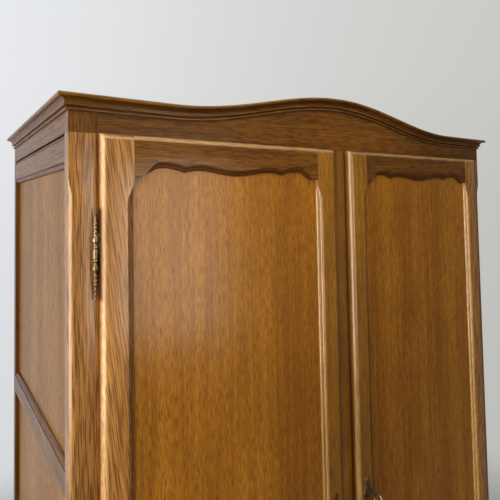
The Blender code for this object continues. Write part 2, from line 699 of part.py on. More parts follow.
def door_rail(name, middle, shares, far_edge, edge_at, grow, parent):
    """A door's rail: its far edge is straight, and its sight edge follows edge_at with a moulding."""
    layers = [(DOOR_BACK, 1.0)] + [(DOOR_FACE + deep, share) for share, deep in moulding_steps()[::-1]]

    def ring(y, share_of_width):
        edge = [
            (middle + DOOR_RAIL_HALF * at, y, edge_at(at) + grow * moulding_width(at) * share_of_width)
            for at in shares
        ]
        return edge + [(edge[-1][0], y, far_edge), (edge[0][0], y, far_edge)]

    return piece(name, loft([ring(y, share) for y, share in layers]), OAK, parent)


def end_round(name, height, way, parent):
    """The cutter that rounds a door's top or bottom edge; way is the way out of the door, along Z."""
    spare = DOOR_THICKNESS
    inner = height - way * END_ROUND_HEIGHT
    reach = (EDGE_ROUND + GAP, way * (END_ROUND_HEIGHT + GAP))
    curve = arc((DOOR_FACE + EDGE_ROUND, inner), reach, 2, 1, 5)
    outline = curve + [(DOOR_FACE + EDGE_ROUND, height + way * spare), (DOOR_FACE - spare, height + way * spare)]
    outline += [(DOOR_FACE - spare, inner)]
    return tool(name, extrusion([outline], "X", -WIDTH, WIDTH), parent)


def door(name, side, axis):
    outer, inner, middle = side * DOOR_OUTER, side * DOOR_INNER, side * DOOR_MIDDLE
    hinge_stile = stile(f"{name}_hinge_stile", outer, -side, axis)
    lock_stile = stile(f"{name}_lock_stile", inner, side, axis)

    groove_top = DOOR_TOP - SCALLOP_OUTER_HUMP_DEPTH + DOOR_PANEL_TONGUE
    groove_bottom = DOOR_BOTTOM + BOTTOM_DOOR_RAIL - DOOR_PANEL_TONGUE
    top_rail = door_rail(
        f"{name}_top_rail", middle, scallop_shares(), DOOR_TOP, lambda at: DOOR_TOP - scallop(at), -1, axis
    )
    stop = spread(SCALLOP_STOP_AT, SCALLOP_END_AT, 4) + [1.0]
    straight = [-at for at in reversed(stop)] + stop
    bottom_rail = door_rail(
        f"{name}_bottom_rail", middle, straight, DOOR_BOTTOM, lambda at: DOOR_BOTTOM + BOTTOM_DOOR_RAIL, 1, axis
    )
    half = DOOR_RAIL_HALF + GROOVE_DEPTH
    groove = block((0, DOOR_GROOVE_FRONT, groove_bottom), (side * WIDTH, DOOR_GROOVE_BACK, groove_top))
    groove_tool = tool(f"{name}_panel_groove", groove, axis)
    tenons = {top_rail: (groove_top + GAP, DOOR_TOP), bottom_rail: (DOOR_BOTTOM, groove_bottom - GAP)}
    for rail, (low, high) in tenons.items():
        apply_tool(rail, groove_tool)
        tenon = block(
            (middle - half, DOOR_GROOVE_FRONT + GAP, low), (middle + half, DOOR_GROOVE_BACK - GAP, high)
        )
        apply_tool(rail, tool(f"{rail.name}_tenon", tenon, axis), "UNION")

    face = DOOR_FACE + DOOR_PANEL_SETBACK
    panel = block(
        (middle - half, face, groove_bottom + GAP),
        (middle + half, face + DOOR_PANEL_THICKNESS, groove_top - GAP),
    )
    piece(f"{name}_panel", panel, VENEER, axis)

    top_cut = end_round(f"{name}_top_round", DOOR_TOP, 1, axis)
    bottom_cut = end_round(f"{name}_bottom_round", DOOR_BOTTOM, -1, axis)
    for made in (hinge_stile, lock_stile, top_rail):
        apply_tool(made, top_cut)
    for made in (hinge_stile, lock_stile, bottom_rail):
        apply_tool(made, bottom_cut)
    return hinge_stile, lock_stile


# Hinges

def finial_profile():
    """Radius and height above the barrel's middle, from the tip down to the parting."""
    tip, r = HINGE_HALF_LENGTH, HINGE_RADIUS
    ball = [(0, 1.0), (0.30, 0.975), (0.30, 0.945), (0.20, 0.91)]
    rings = [(0.42, 0.86), (0.30, 0.815), (0.54, 0.765), (0.38, 0.71), (0.66, 0.655), (0.48, 0.61)]
    rings += [(0.68, 0.57), (0.46, 0.52), (0.68, 0.475), (0.52, 0.44)]
    olive = [(0.86, 0.365), (1.0, 0.30), (0.86, 0.235), (0.62, 0.185)]
    barrel = [(0.78, 0.16), (0.78, 0.12), (0.70, 0.105)]
    points = [(r * out, tip * up) for out, up in ball + rings + olive + barrel]
    return points + [(r * barrel[-1][0], GAP / 2)]


def hinge(name, place, side, height, hinge_stile, axis):
    at = (side * HINGE_X, HINGE_Y, height)
    upper = finial_profile()
    bore = HINGE_PIN_RADIUS + GAP
    half = piece(f"{name}_{place}_hinge_door_half", bmesh.new(), BRASS, axis, at)
    turning(half, upper + [(bore, GAP / 2), (bore, HINGE_PIN_LENGTH + GAP), (0, HINGE_PIN_LENGTH + GAP)], HINGE_SIDES)

    base = piece(f"{name}_{place}_hinge_post_half", bmesh.new(), BRASS, CARCASS, at)
    pin = [(0, HINGE_PIN_LENGTH), (HINGE_PIN_RADIUS, HINGE_PIN_LENGTH), (HINGE_PIN_RADIUS, -GAP / 2)]
    turning(base, pin + [(radius, -z) for radius, z in reversed(upper)], HINGE_SIDES)

    rooted = bore + GAP
    thick = LEAF_THICKNESS / 2
    leaf = block(
        (side * (HINGE_X - rooted), HINGE_Y - thick, height + 2 * GAP),
        (side * (DOOR_OUTER - LEAF_DEPTH), HINGE_Y + thick, height + LEAF_HEIGHT),
    )
    apply_tool(half, tool(f"{name}_{place}_door_leaf", leaf, axis), "UNION")
    slot = block(
        (side * HINGE_X, HINGE_Y - thick - GAP, height),
        (side * (DOOR_OUTER - LEAF_DEPTH - GAP), HINGE_Y + thick + GAP, height + LEAF_HEIGHT + GAP),
    )
    apply_tool(hinge_stile, tool(f"{name}_{place}_leaf_slot", slot, axis))
    leaf = block(
        (side * HINGE_X - thick, HINGE_Y, height - LEAF_HEIGHT),
        (side * HINGE_X + thick, LEAF_DEPTH, height - 2 * GAP),
    )
    apply_tool(base, tool(f"{name}_{place}_post_leaf", leaf), "UNION")


# Locks and keys

def keyhole(radius, slot_half, reach):
    """A round hole with a slot under it, about the key's axis."""
    turn = [(radius * cos(a), radius * sin(a)) for a in spread(-pi / 3, 4 * pi / 3, 12)]
    return turn + [(-slot_half, -reach), (slot_half, -reach)]


def escutcheon_outline():
    """A plate with a broad middle, two waists and pointed ends."""
    def half_width(t):
        return ESCUTCHEON_WIDTH / 2 * max(cos(pi * t), 0) ** 0.5 * (0.75 + 0.25 * cos(4 * pi * t))

    right = [(half_width(t), ESCUTCHEON_HEIGHT * t) for t in spread(-0.5, 0.5, ESCUTCHEON_STEPS)]
    return right[:-1] + [(-x, z) for x, z in right[:0:-1]]


def shifted(points, x, z):
    return [(x + a, z + b) for a, b in points]


def lock(name, side, lock_stile, axis):
    x, z = side * KEY_X, LOCK_HEIGHT
    bit_half = KEY_BIT_THICKNESS / 2 + GAP
    reach = KEY_BIT_REACH + GAP

    hole = keyhole(KEY_SHANK_RADIUS + GAP, bit_half, reach)
    plate = extrusion(
        [shifted(escutcheon_outline(), x, z), shifted(hole, x, z)], "Y", PLATE_FACE, DOOR_FACE - GAP
    )
    piece(f"{name}_escutcheon", plate, BRASS, axis)
    through = extrusion([shifted(hole, x, z)], "Y", DOOR_FACE - EDGE_ROUND, DOOR_BACK + EDGE_ROUND)
    apply_tool(lock_stile, tool(f"{name}_keyhole", through, axis))

    low, high = z - LOCK_CASE_HEIGHT / 2, z + LOCK_CASE_HEIGHT / 2
    case = piece(
        f"{name}_lock_case",
        block((side * LOCK_NEAR, LOCK_FRONT, low), (side * LOCK_FAR, LOCK_BACK, high)),
        STEEL,
        axis,
    )
    cavity = block(
        (side * (LOCK_NEAR + LOCK_WALL), LOCK_FRONT - LOCK_WALL, low + LOCK_WALL),
        (side * (LOCK_FAR - LOCK_WALL), LOCK_BACK - LOCK_WALL, high - LOCK_WALL),
    )
    bolt_y, bolt_z = LOCK_FRONT + BOLT_SETBACK, z + BOLT_RISE
    slot = block(
        (side * (LOCK_NEAR - LOCK_WALL), bolt_y - GAP, bolt_z - GAP),
        (side * (LOCK_NEAR + 2 * LOCK_WALL), bolt_y + BOLT_THICKNESS + GAP, bolt_z + BOLT_HEIGHT + GAP),
    )
    seat = rod((x, LOCK_BACK - 2 * LOCK_WALL, z), (x, LOCK_BACK + LOCK_WALL, z), KEY_SHANK_RADIUS + GAP, KEY_SIDES)
    for label, bm in (("cavity", cavity), ("bolt_slot", slot), ("key_seat", seat)):
        apply_tool(case, tool(f"{name}_{label}", bm, axis))

    slide = pivot(f"{name}_bolt_axis", (side * LOCK_NEAR, bolt_y, bolt_z), axis)
    bolt = block(
        (side * LOCK_NEAR, bolt_y, bolt_z),
        (side * (LOCK_NEAR + BOLT_LENGTH), bolt_y + BOLT_THICKNESS, bolt_z + BOLT_HEIGHT),
    )
    piece(f"{name}_lock_bolt", bolt, STEEL, slide)

    turn = pivot(f"{name}_key_axis", (x, COLLAR_BACK, z), axis)
    shank = rod((x, BOW_BACK - KEY_BOW_BAND / 2, z), (x, LOCK_BACK - GAP, z), KEY_SHANK_RADIUS, KEY_SIDES)
    key = piece(f"{name}_key", shank, BRASS, turn)
    collar = rod((x, COLLAR_FACE, z), (x, COLLAR_BACK, z), KEY_COLLAR_RADIUS, KEY_SIDES)
    middle = (BOW_BACK - KEY_BOW_LENGTH / 2, z)
    outer = arc(middle, (KEY_BOW_LENGTH / 2, KEY_BOW_HEIGHT / 2), 0, 4, 20)[:-1]
    band = KEY_BOW_BAND
    inner = arc(middle, (KEY_BOW_LENGTH / 2 - band, KEY_BOW_HEIGHT / 2 - band), 0, 4, 20)[:-1]
    bow = extrusion([outer, inner], "X", x - KEY_BOW_THICKNESS / 2, x + KEY_BOW_THICKNESS / 2)
    bit_back = LOCK_BACK - 2 * LOCK_WALL
    bit = block(
        (x - KEY_BIT_THICKNESS / 2, bit_back - KEY_BIT_LENGTH, z - KEY_BIT_REACH),
        (x + KEY_BIT_THICKNESS / 2, bit_back, z),
    )
    for label, bm in (("collar", collar), ("bow", bow), ("bit", bit)):
        apply_tool(key, tool(f"{name}_key_{label}", bm, turn), "UNION")


# Assembly

crown()
for side_name, side_sign in SIDES.items():
    framed_side(side_name, side_sign)
front_frame()
closing_boards()
inside_fittings()
for side_name, side_sign in SIDES.items():
    door_name = f"{side_name}_door"
    door_axis = pivot(f"{door_name}_axis", (side_sign * HINGE_X, HINGE_Y, 0), CARCASS)
    stiles = door(door_name, side_sign, door_axis)
    for hinge_place, hinge_height in HINGE_HEIGHTS.items():
        hinge(door_name, hinge_place, side_sign, hinge_height, stiles[0], door_axis)
    lock(door_name, side_sign, stiles[1], door_axis)
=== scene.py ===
# %% [markdown]
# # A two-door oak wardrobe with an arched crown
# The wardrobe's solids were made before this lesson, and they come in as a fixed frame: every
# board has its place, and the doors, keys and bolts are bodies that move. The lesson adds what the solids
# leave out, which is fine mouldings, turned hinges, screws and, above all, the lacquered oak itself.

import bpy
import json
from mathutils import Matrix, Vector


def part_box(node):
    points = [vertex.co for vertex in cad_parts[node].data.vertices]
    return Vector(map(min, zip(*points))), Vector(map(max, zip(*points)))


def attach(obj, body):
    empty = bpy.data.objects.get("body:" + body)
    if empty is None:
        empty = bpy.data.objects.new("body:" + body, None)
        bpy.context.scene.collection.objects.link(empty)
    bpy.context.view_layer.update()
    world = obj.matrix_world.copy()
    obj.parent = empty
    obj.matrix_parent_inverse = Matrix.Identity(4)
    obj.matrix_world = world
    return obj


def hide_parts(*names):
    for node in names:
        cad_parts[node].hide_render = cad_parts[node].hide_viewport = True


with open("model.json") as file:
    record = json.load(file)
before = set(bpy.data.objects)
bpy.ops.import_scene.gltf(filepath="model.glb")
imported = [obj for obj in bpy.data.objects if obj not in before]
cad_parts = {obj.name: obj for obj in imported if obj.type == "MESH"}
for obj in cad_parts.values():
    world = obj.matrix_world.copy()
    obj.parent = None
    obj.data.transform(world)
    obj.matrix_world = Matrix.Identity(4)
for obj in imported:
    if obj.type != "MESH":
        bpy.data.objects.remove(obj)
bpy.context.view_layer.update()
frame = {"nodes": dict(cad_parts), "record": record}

# %% Tools, and the sizes that place everything
import json
from math import cos, exp, pi, radians, sin, sqrt

import bmesh
import bpy
from mathutils import Matrix, Vector

scene = bpy.context.scene
scene.view_settings.view_transform = "Standard"
BODY_OF = {node: body for body, nodes in frame["record"]["behaviour"]["bodies"].items() for node in nodes}
SIDES = {"left": -1, "right": 1}
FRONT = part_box("front_post_left")[0].y
HALF_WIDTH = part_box("front_post_right")[1].x
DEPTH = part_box("back_panel")[1].y - FRONT
print("front faces of the posts at y", round(FRONT, 5), "half width", round(HALF_WIDTH, 4))

# %% [markdown]
# ## Camera
# The photograph was taken at eye height, close to the left front corner, with a wide lens. Its upright
# edges stay nearly upright while the frame shows more below the horizon than above, so the lens is shifted
# rather than tipped. The place and angles below were fitted to some thirty edges of the wardrobe.

# %% Camera
PICTURE = 500
FOCAL_PIXELS = 464.31
CENTRE_ROW = 185
CAMERA_AT = (-0.8445, FRONT - 0.8413, 1.7388)
YAW = 0.6014
PITCH = 0.0422
ROLL = -0.0181


def show(name, data):
    """A new object in the scene."""
    made = bpy.data.objects.new(name, data)
    scene.collection.objects.link(made)
    return made


lens = bpy.data.cameras.new("camera")
lens.sensor_width = 36
lens.lens = lens.sensor_width * FOCAL_PIXELS / PICTURE
lens.shift_y = (CENTRE_ROW - (PICTURE - 1) / 2) / PICTURE
ahead = Vector((sin(YAW) * cos(PITCH), cos(YAW) * cos(PITCH), sin(PITCH)))
level = Vector((cos(YAW), -sin(YAW), 0))
over = level.cross(ahead)
to_right = level * cos(ROLL) + over * sin(ROLL)
to_top = over * cos(ROLL) - level * sin(ROLL)
camera = show("camera", lens)
turned = Matrix((to_right, to_top, -ahead)).transposed().to_4x4()
camera.matrix_world = Matrix.Translation(CAMERA_AT) @ turned
scene.camera = camera
print("lens", round(lens.lens, 2), "mm, shift", round(lens.shift_y, 3))

# %% [markdown]
# ## One way to add a node
# Materials, the world and geometry trees are all node trees. One small function adds a node with its
# settings and links, so that a tree reads from top to bottom like a recipe. Colours are written as the
# eye reads them on a screen, in sRGB, and turned to the linear values that a renderer works in.

# %% Nodes and colours
MATH, VECTORS, RANGE = "ShaderNodeMath", "ShaderNodeVectorMath", "ShaderNodeMapRange"
MIX, NOISE, BUMP = "ShaderNodeMix", "ShaderNodeTexNoise", "ShaderNodeBump"
ATTRIBUTE, PLACE = "ShaderNodeAttribute", "ShaderNodeTexCoord"
# A mix of two colours takes them at inputs 6 and 7 and gives its colour at output 2
BLEND = {"data_type": "RGBA", "out": 2}


def feed(tree, node, inputs):
    """Give a node its inputs, in order or by name or number: a socket is linked, anything else is a value."""
    for name, value in inputs.items() if isinstance(inputs, dict) else enumerate(inputs):
        if isinstance(value, bpy.types.NodeSocket):
            tree.links.new(value, node.inputs[name])
        else:
            node.inputs[name].default_value = value


def add(tree, kind, inputs=(), out=0, **settings):
    """One node in a tree, with its settings and inputs; gives one output, or all of them for None."""
    node = tree.nodes.new(kind)
    for name, value in settings.items():
        setattr(node, name, value)
    feed(tree, node, inputs)
    return node.outputs if out is None else node.outputs[out]


def colour(code):
    """An sRGB hex colour as linear red, green, blue and alpha."""
    parts = [int(code[i:i + 2], 16) / 255 for i in (1, 3, 5)]
    return (*[p / 12.92 if p <= 0.04045 else ((p + 0.055) / 1.055) ** 2.4 for p in parts], 1.0)


print("mid oak in linear light:", [round(part, 3) for part in colour("#A8763F")[:3]])

# %% [markdown]
# ## Stage and light
# A pale wall and floor, a large window on the left and a weaker glow from the ceiling. Lacquered wood shows
# its room, so two bright cards are seen in the lacquer alone: one makes the left door glow, the other draws
# light lines on rounded edges. A dark curtain in front keeps the rest of the doors deep in colour. The wall
# is the world itself; it also sends some light from behind, or the wardrobe's back would be black.

# %% World
WALL_LEFT, WALL_RIGHT = "#EAECF0", "#C8C9C3"
WALL_TURN = (0.05, 0.90)
WALL_RISE, WALL_FOOT = (-0.45, 0.25), 0.84
ROOM_WHITE, ROOM_RISE = "#F4F3F0", (-0.5, 0.7)
AMBIENT_ABOVE, AMBIENT_BELOW, AMBIENT_BEHIND = 0.20, 0.04, 0.55

world = bpy.data.worlds.new("pale_room")
scene.world = world
world.use_nodes = True
tree = world.node_tree
tree.nodes.clear()
way = add(tree, "ShaderNodeSeparateXYZ", [add(tree, PLACE, out="Generated")], None)
across = add(tree, RANGE, (way["X"], *WALL_TURN))
wall = add(tree, MIX, {0: across, 6: colour(WALL_LEFT), 7: colour(WALL_RIGHT)}, **BLEND)
wall_light = add(tree, RANGE, (way["Z"], *WALL_RISE, WALL_FOOT, 1.0))
room_light = add(tree, RANGE, (way["Z"], *ROOM_RISE, AMBIENT_BELOW, AMBIENT_ABOVE))
bounce = add(tree, RANGE, (way["Y"], 0.0, 1.0, 0.0, AMBIENT_BEHIND))
room_light = add(tree, MATH, (room_light, bounce), operation="ADD")
shown = add(tree, "ShaderNodeBackground", {"Color": wall, "Strength": wall_light})
ambient = add(tree, "ShaderNodeBackground", {"Color": colour(ROOM_WHITE), "Strength": room_light})
# The wall is what the camera, a gloss or a glass sees; all else is lit by the ambient light
path = add(tree, "ShaderNodeLightPath", out=None)
seen = add(tree, MATH, (path["Is Camera Ray"], path["Is Glossy Ray"]), operation="MAXIMUM")
seen = add(tree, MATH, (seen, path["Is Transmission Ray"]), operation="MAXIMUM")
mixed = add(tree, "ShaderNodeMixShader", (seen, ambient, shown))
add(tree, "ShaderNodeOutputWorld", [mixed], None)
print("ambient light from", AMBIENT_BELOW, "below to", AMBIENT_ABOVE, "above")


# %% Lamps
def window(name, at, aim, width, height, level, tint):
    """A soft rectangular lamp; level is the share of a written colour that it gives a surface facing it."""
    data = bpy.data.lights.new(name, "AREA")
    data.shape = "RECTANGLE"
    data.size = width
    data.size_y = height
    away = Vector(aim) - Vector(at)
    data.energy = level * pi * pi * away.length_squared
    data.color = colour(tint)[:3]
    lamp = show(name, data)
    lamp.location = at
    lamp.rotation_euler = away.to_track_quat("-Z", "Y").to_euler()
    return lamp


window("left_window", (-2.30, -1.10, 1.55), (-0.55, FRONT, 1.55), 2.2, 2.1, 1.30, "#FFFBF8")
window("ceiling_glow", (-0.2, -1.05, 2.65), (-0.1, FRONT, 1.60), 1.6, 0.8, 0.52, "#FFFAF2")
front_card = window("front_card", (0.60, -2.70, 1.45), (0.0, FRONT, 1.45), 0.9, 1.40, 0.28, "#FFF6EA")
left_card = window("left_card", (-2.36, -1.13, 1.55), (-0.55, FRONT, 1.55), 2.2, 2.1, 1.10, "#FFF4F0")
front_card.visible_diffuse = False
left_card.visible_diffuse = False

# %% Floor
FLOOR_RADIUS, FLOOR_CLEAR, FLOOR_SIDES = 2.6, 1.5, 96
FLOOR_DEEP, FLOOR_PALE = "#D9D8D4", "#E2E1DD"


def surface(name):
    """A new material, with its tree and its shader."""
    made = bpy.data.materials.new(name)
    made.use_nodes = True
    return made, made.node_tree, made.node_tree.nodes["Principled BSDF"]


def mesh_from(name, bm):
    """A named mesh, from one that was being made."""
    mesh = bpy.data.meshes.new(name)
    bm.to_mesh(mesh)
    bm.free()
    return mesh


def stage_piece(name, bm, material, unseen_by=()):
    """A mesh that belongs to the picture and not to the wardrobe; some kinds of ray may pass it by."""
    mesh = mesh_from(name, bm)
    mesh.materials.append(material)
    made = show(name, mesh)
    for ray in unseen_by:
        setattr(made, f"visible_{ray}", False)


# The floor fades into the wall, so that no horizon shows
floor_paint, tree, shader = surface("pale_floor")
place = add(tree, PLACE, out="Object")
mottle = add(tree, NOISE, {"Vector": place, "Scale": 3})
tint = add(tree, MIX, {0: mottle, 6: colour(FLOOR_DEEP), 7: colour(FLOOR_PALE)}, **BLEND)
away = add(tree, VECTORS, [place], out="Value", operation="LENGTH")
fade = (away, FLOOR_CLEAR, FLOOR_RADIUS, 1.0, 0.0)
kept = add(tree, RANGE, fade, interpolation_type="SMOOTHSTEP")
feed(tree, shader, {"Base Color": tint, "Roughness": 0.75, "Alpha": kept})
bm = bmesh.new()
bmesh.ops.create_circle(bm, cap_ends=True, segments=FLOOR_SIDES, radius=FLOOR_RADIUS)
stage_piece("floor", bm, floor_paint)
print("floor", 2 * FLOOR_RADIUS, "m across")

# %% Curtain
# A dark curtain far in front and a dark cloth on the floor before the doors, which show in reflections
# alone, as a studio's flags do: the doors face a room that is darker than the wall behind them
CURTAIN_RADIUS, CURTAIN_HEIGHT, CURTAIN_STEPS = 4.6, 4.5, 24
CURTAIN_START, CURTAIN_SPAN = -0.35 * pi, 0.85 * pi
CLOTH_SHARE, CLOTH_HEIGHT = 0.14, 0.002

dark_cloth, tree, shader = surface("dark_curtain")
glow = {"Emission Color": colour("#6B645C"), "Emission Strength": 0.6}
feed(tree, shader, {"Base Color": colour("#1A1714"), **glow})
bm = bmesh.new()
turns = [CURTAIN_START + CURTAIN_SPAN * i / CURTAIN_STEPS for i in range(CURTAIN_STEPS + 1)]
feet = [bm.verts.new((CURTAIN_RADIUS * sin(t), -CURTAIN_RADIUS * cos(t), 0)) for t in turns]
heads = [bm.verts.new(foot.co + Vector((0, 0, CURTAIN_HEIGHT))) for foot in feet]
hems = [bm.verts.new((foot.co.x * CLOTH_SHARE, foot.co.y * CLOTH_SHARE, CLOTH_HEIGHT)) for foot in feet]
for i in range(CURTAIN_STEPS):
    bm.faces.new((feet[i], feet[i + 1], heads[i + 1], heads[i]))
    bm.faces.new((hems[i], hems[i + 1], feet[i + 1], feet[i]))
stage_piece("curtain", bm, dark_cloth, ("camera", "diffuse", "transmission", "shadow"))
print("curtain", CURTAIN_HEIGHT, "m high")

# %% [markdown]
# ## Lacquered oak
# The real surface is oak, stained golden brown, sealed and sprayed with a satin lacquer. Oak shows four
# things: broad bands of tone, growth rings some millimetres apart, short dark pores along the grain, and
# the lacquer's gloss over all of it. Each board carries an attribute named grain, which says where every
# point lies along and across the fibres, so one tree serves upright, level and slanted boards. The pores
# of oak are 0.3 mm wide; they are drawn four to seven times as wide, because finer ones would not show.
# Three more attributes: tone lifts or lowers a board's colour; a brown mark is painted shade in hollows, gaps
# and on faces turned from the light, with some dirt, and it dulls the lacquer; and a pale mark is painted
# highlight on edges that catch the light, with some worn wood.

# %% Oak
GRAIN, TONE, SHADE_AND_DIRT, WEAR_AND_HIGHLIGHT = "grain", "tone", "shade_and_dirt", "wear_and_highlight"
# The deep brown paints shade and some dirt; the pale paints highlights and some worn wood
PALE_WEAR_AND_HIGHLIGHT, DIRT_AND_SHADE_BROWN, WARM_GLOSS = "#D4AA6C", "#481C08", "#FFC98A"
# Lengths along and across the fibres, in millimetres, that each kind of mark takes
MARK_SIZES = {"bands": (1400, 80), "rings": (260, 9), "flecks": (7, 2.6), "patches": (170, 120)}
# Nearly all values of a noise lie in the first span; pores start and are full in the second, and in the
# third where pale is painted for highlights and worn wood
NOISE_SPAN, PORE_SPAN, PALE_SPAN = (0.30, 0.70), (0.44, 0.62), (0.36, 0.64)
BAND_SHARE, PATCH_SHARE, FLECK_SHARE, PORE_KEPT = 0.42, 0.08, 0.09, 0.45


def oak_finish(name, pale, deep, pore, dash, lines=0.7, rings=0.4, coat=1.0, rough=0.40):
    """Oak under satin lacquer: colours of early wood, late wood and pores, and a pore's length and width."""
    made, tree, shader = surface(name)
    fibres = add(tree, ATTRIBUTE, out="Vector", attribute_name=GRAIN)
    tone, shade_and_dirt, wear_and_highlight = [add(tree, ATTRIBUTE, out="Fac", attribute_name=mark) for mark in (TONE, SHADE_AND_DIRT, WEAR_AND_HIGHLIGHT)]
    marks = {}
    for mark, (long_mm, wide_mm) in {**MARK_SIZES, "pores": dash}.items():
        scale = (1000 / long_mm, 1000 / wide_mm, 1000 / wide_mm)
        laid = add(tree, VECTORS, (fibres, scale), operation="MULTIPLY")
        noise = {"Vector": laid, "Scale": 1.0, "Detail": 1.5, "Roughness": 0.5}
        marks[mark] = add(tree, NOISE, noise)
    # Wood: bands and rings, then pores, then pale wood where highlights and worn wood are painted
    ring = add(tree, RANGE, (marks["rings"], *NOISE_SPAN, 0.5 - rings, 0.5 + rings))
    band = add(tree, RANGE, (marks["bands"], *NOISE_SPAN, -BAND_SHARE, BAND_SHARE))
    late = add(tree, MATH, (ring, band), operation="ADD", use_clamp=True)
    wood = add(tree, MIX, {0: late, 6: colour(pale), 7: colour(deep)}, **BLEND)
    hole = add(tree, RANGE, (marks["pores"], *PORE_SPAN, 0.0, lines))
    wood = add(tree, MIX, {0: hole, 6: wood, 7: colour(pore)}, **BLEND)
    pale_share = add(tree, RANGE, (marks["pores"], *PALE_SPAN, 1.0, PORE_KEPT))
    pale_share = add(tree, MATH, (pale_share, wear_and_highlight), operation="MULTIPLY", use_clamp=True)
    wood = add(tree, MIX, {0: pale_share, 6: wood, 7: colour(PALE_WEAR_AND_HIGHLIGHT)}, **BLEND)
    # Light and dark patches, the board's tone and fine flecks lift or lower it, and painted shade and dirt
    # cover it
    lift = add(tree, RANGE, (marks["patches"], *NOISE_SPAN, 1 - PATCH_SHARE, 1 + PATCH_SHARE))
    fleck = add(tree, RANGE, (marks["flecks"], *NOISE_SPAN, -FLECK_SHARE, FLECK_SHARE))
    for more in (tone, fleck):
        lift = add(tree, MATH, (lift, more), operation="ADD")
    wood = add(tree, VECTORS, {0: wood, "Scale": lift}, operation="SCALE")
    wood = add(tree, MIX, {0: shade_and_dirt, 6: wood, 7: colour(DIRT_AND_SHADE_BROWN)}, **BLEND)
    # Lacquer sinks into the pores, and is thin under painted shade and dirt
    satin = add(tree, RANGE, (marks["pores"], *NOISE_SPAN, rough - 0.05, rough + 0.07))
    relief = add(tree, MATH, (marks["rings"], marks["pores"]), operation="ADD")
    bump = add(tree, BUMP, {"Height": relief, "Strength": 0.25, "Distance": 0.0004})
    film = add(tree, RANGE, (shade_and_dirt, 0.0, 1.0, coat, 0.2 * coat))
    feed(tree, shader, {"Base Color": wood, "Roughness": satin, "Normal": bump, "Coat Weight": film})
    feed(tree, shader, {"IOR": 1.5, "Specular IOR Level": 0.25, "Specular Tint": colour(WARM_GLOSS)})
    feed(tree, shader, {"Coat Roughness": 0.20})
    return made


print("marks of oak, in millimetres along and across the fibres:", MARK_SIZES)

# %% Oak finishes
# Darker colours for rails, frieze, stubs and cornice: painted shade for the sheen that level grain lacks
DARKER_RAIL_COLOURS = ("#8A5618", "#623A0C", "#341C05", (36, 1.7))
STILE_OAK = oak_finish("lacquered_oak_hinge_stile", "#CE924A", "#AA7030", "#5E3A14", (55, 1.8), lines=0.8)
LOCK_OAK = oak_finish("lacquered_oak_lock_stile", "#CE8C28", "#AE701C", "#6E420C", (40, 1.9), lines=0.6)
POST_OAK = oak_finish("lacquered_oak_post", "#CC8E48", "#A26A2C", "#583614", (55, 1.8), lines=0.8)
RAIL_OAK = oak_finish("lacquered_oak_rail", *DARKER_RAIL_COLOURS, rings=0.5, coat=0.45)
CORNICE_OAK = oak_finish("lacquered_oak_cornice", *DARKER_RAIL_COLOURS, rings=0.5, coat=0.30)
VENEER = oak_finish("oak_veneer_panel", "#C78321", "#A36412", "#663A08", (22, 1.05), lines=0.75, coat=0.60)
# The sides get less light and a thinner coat of lacquer: duller and greyer than the front
SIDE_VENEER = oak_finish(
    "oak_veneer_side", "#A87632", "#865A20", "#4C2E0A", (22, 1.2), lines=0.65, coat=0.20, rough=0.5
)
SIDE_STAIN = ("#84562A", "#5A3816", "#36200A", (60, 2.1))
SIDE_OAK = oak_finish("lacquered_oak_side_rail", *SIDE_STAIN, lines=0.6, rings=0.5, coat=0.25, rough=0.45)
OAKS = (STILE_OAK, LOCK_OAK, POST_OAK, RAIL_OAK, CORNICE_OAK, VENEER, SIDE_VENEER, SIDE_OAK)
print("oak finishes:", [oak.name for oak in OAKS])

# %% [markdown]
# ## Plywood, brass and steel
# The back and the panel under the crown are birch plywood, pale and dull. Hinges, plates and keys are brass
# that has gone brown, in soft spots with some gloss left. Lock cases, screws and the hanging rail are steel
# with a skin of zinc, grey and satin.

# %% Plywood, brass, steel
# Marks per metre along and across the fibres: figure of about 600 by 70 mm, specks of about 25 by 1 mm
FIGURE_SCALE, SPECK_SCALE = (1.6, 14, 14), (40, 900, 900)


def plain_wood(name, pale, deep):
    """A thin rotary-cut face: wide wandering figure, hardly any gloss."""
    made, tree, shader = surface(name)
    fibres = add(tree, ATTRIBUTE, out="Vector", attribute_name=GRAIN)
    laid = add(tree, VECTORS, (fibres, FIGURE_SCALE), operation="MULTIPLY")
    figure = add(tree, NOISE, {"Vector": laid, "Scale": 1.0, "Detail": 5.0, "Distortion": 1.4})
    fine = add(tree, VECTORS, (fibres, SPECK_SCALE), operation="MULTIPLY")
    specks = add(tree, NOISE, {"Vector": fine, "Scale": 1.0, "Detail": 2.0})
    mixed = add(tree, MATH, (figure, specks), operation="ADD")
    face = add(tree, RANGE, (mixed, 0.75, 1.25))
    wood = add(tree, MIX, {0: face, 6: colour(pale), 7: colour(deep)}, **BLEND)
    bump = add(tree, BUMP, {"Height": specks, "Strength": 0.2, "Distance": 0.0003})
    feed(tree, shader, {"Base Color": wood, "Normal": bump, "Roughness": 0.62})
    return made


def worn_metal(name, bright, dull, spot_mm, rough):
    """Metal with a skin of tarnish in spots of a given size."""
    made, tree, shader = surface(name)
    place = add(tree, PLACE, out="Object")
    spots = add(tree, NOISE, {"Vector": place, "Scale": 1000 / spot_mm, "Detail": 2.0})
    skin = add(tree, RANGE, (spots, 0.38, 0.62))
    metal = add(tree, MIX, {0: skin, 6: colour(bright), 7: colour(dull)}, **BLEND)
    sheen = add(tree, RANGE, (spots, *NOISE_SPAN, rough - 0.04, rough + 0.08))
    bump = add(tree, BUMP, {"Height": spots, "Strength": 0.02, "Distance": 0.0002})
    feed(tree, shader, {"Base Color": metal, "Roughness": sheen, "Normal": bump, "Metallic": 1.0})
    return made


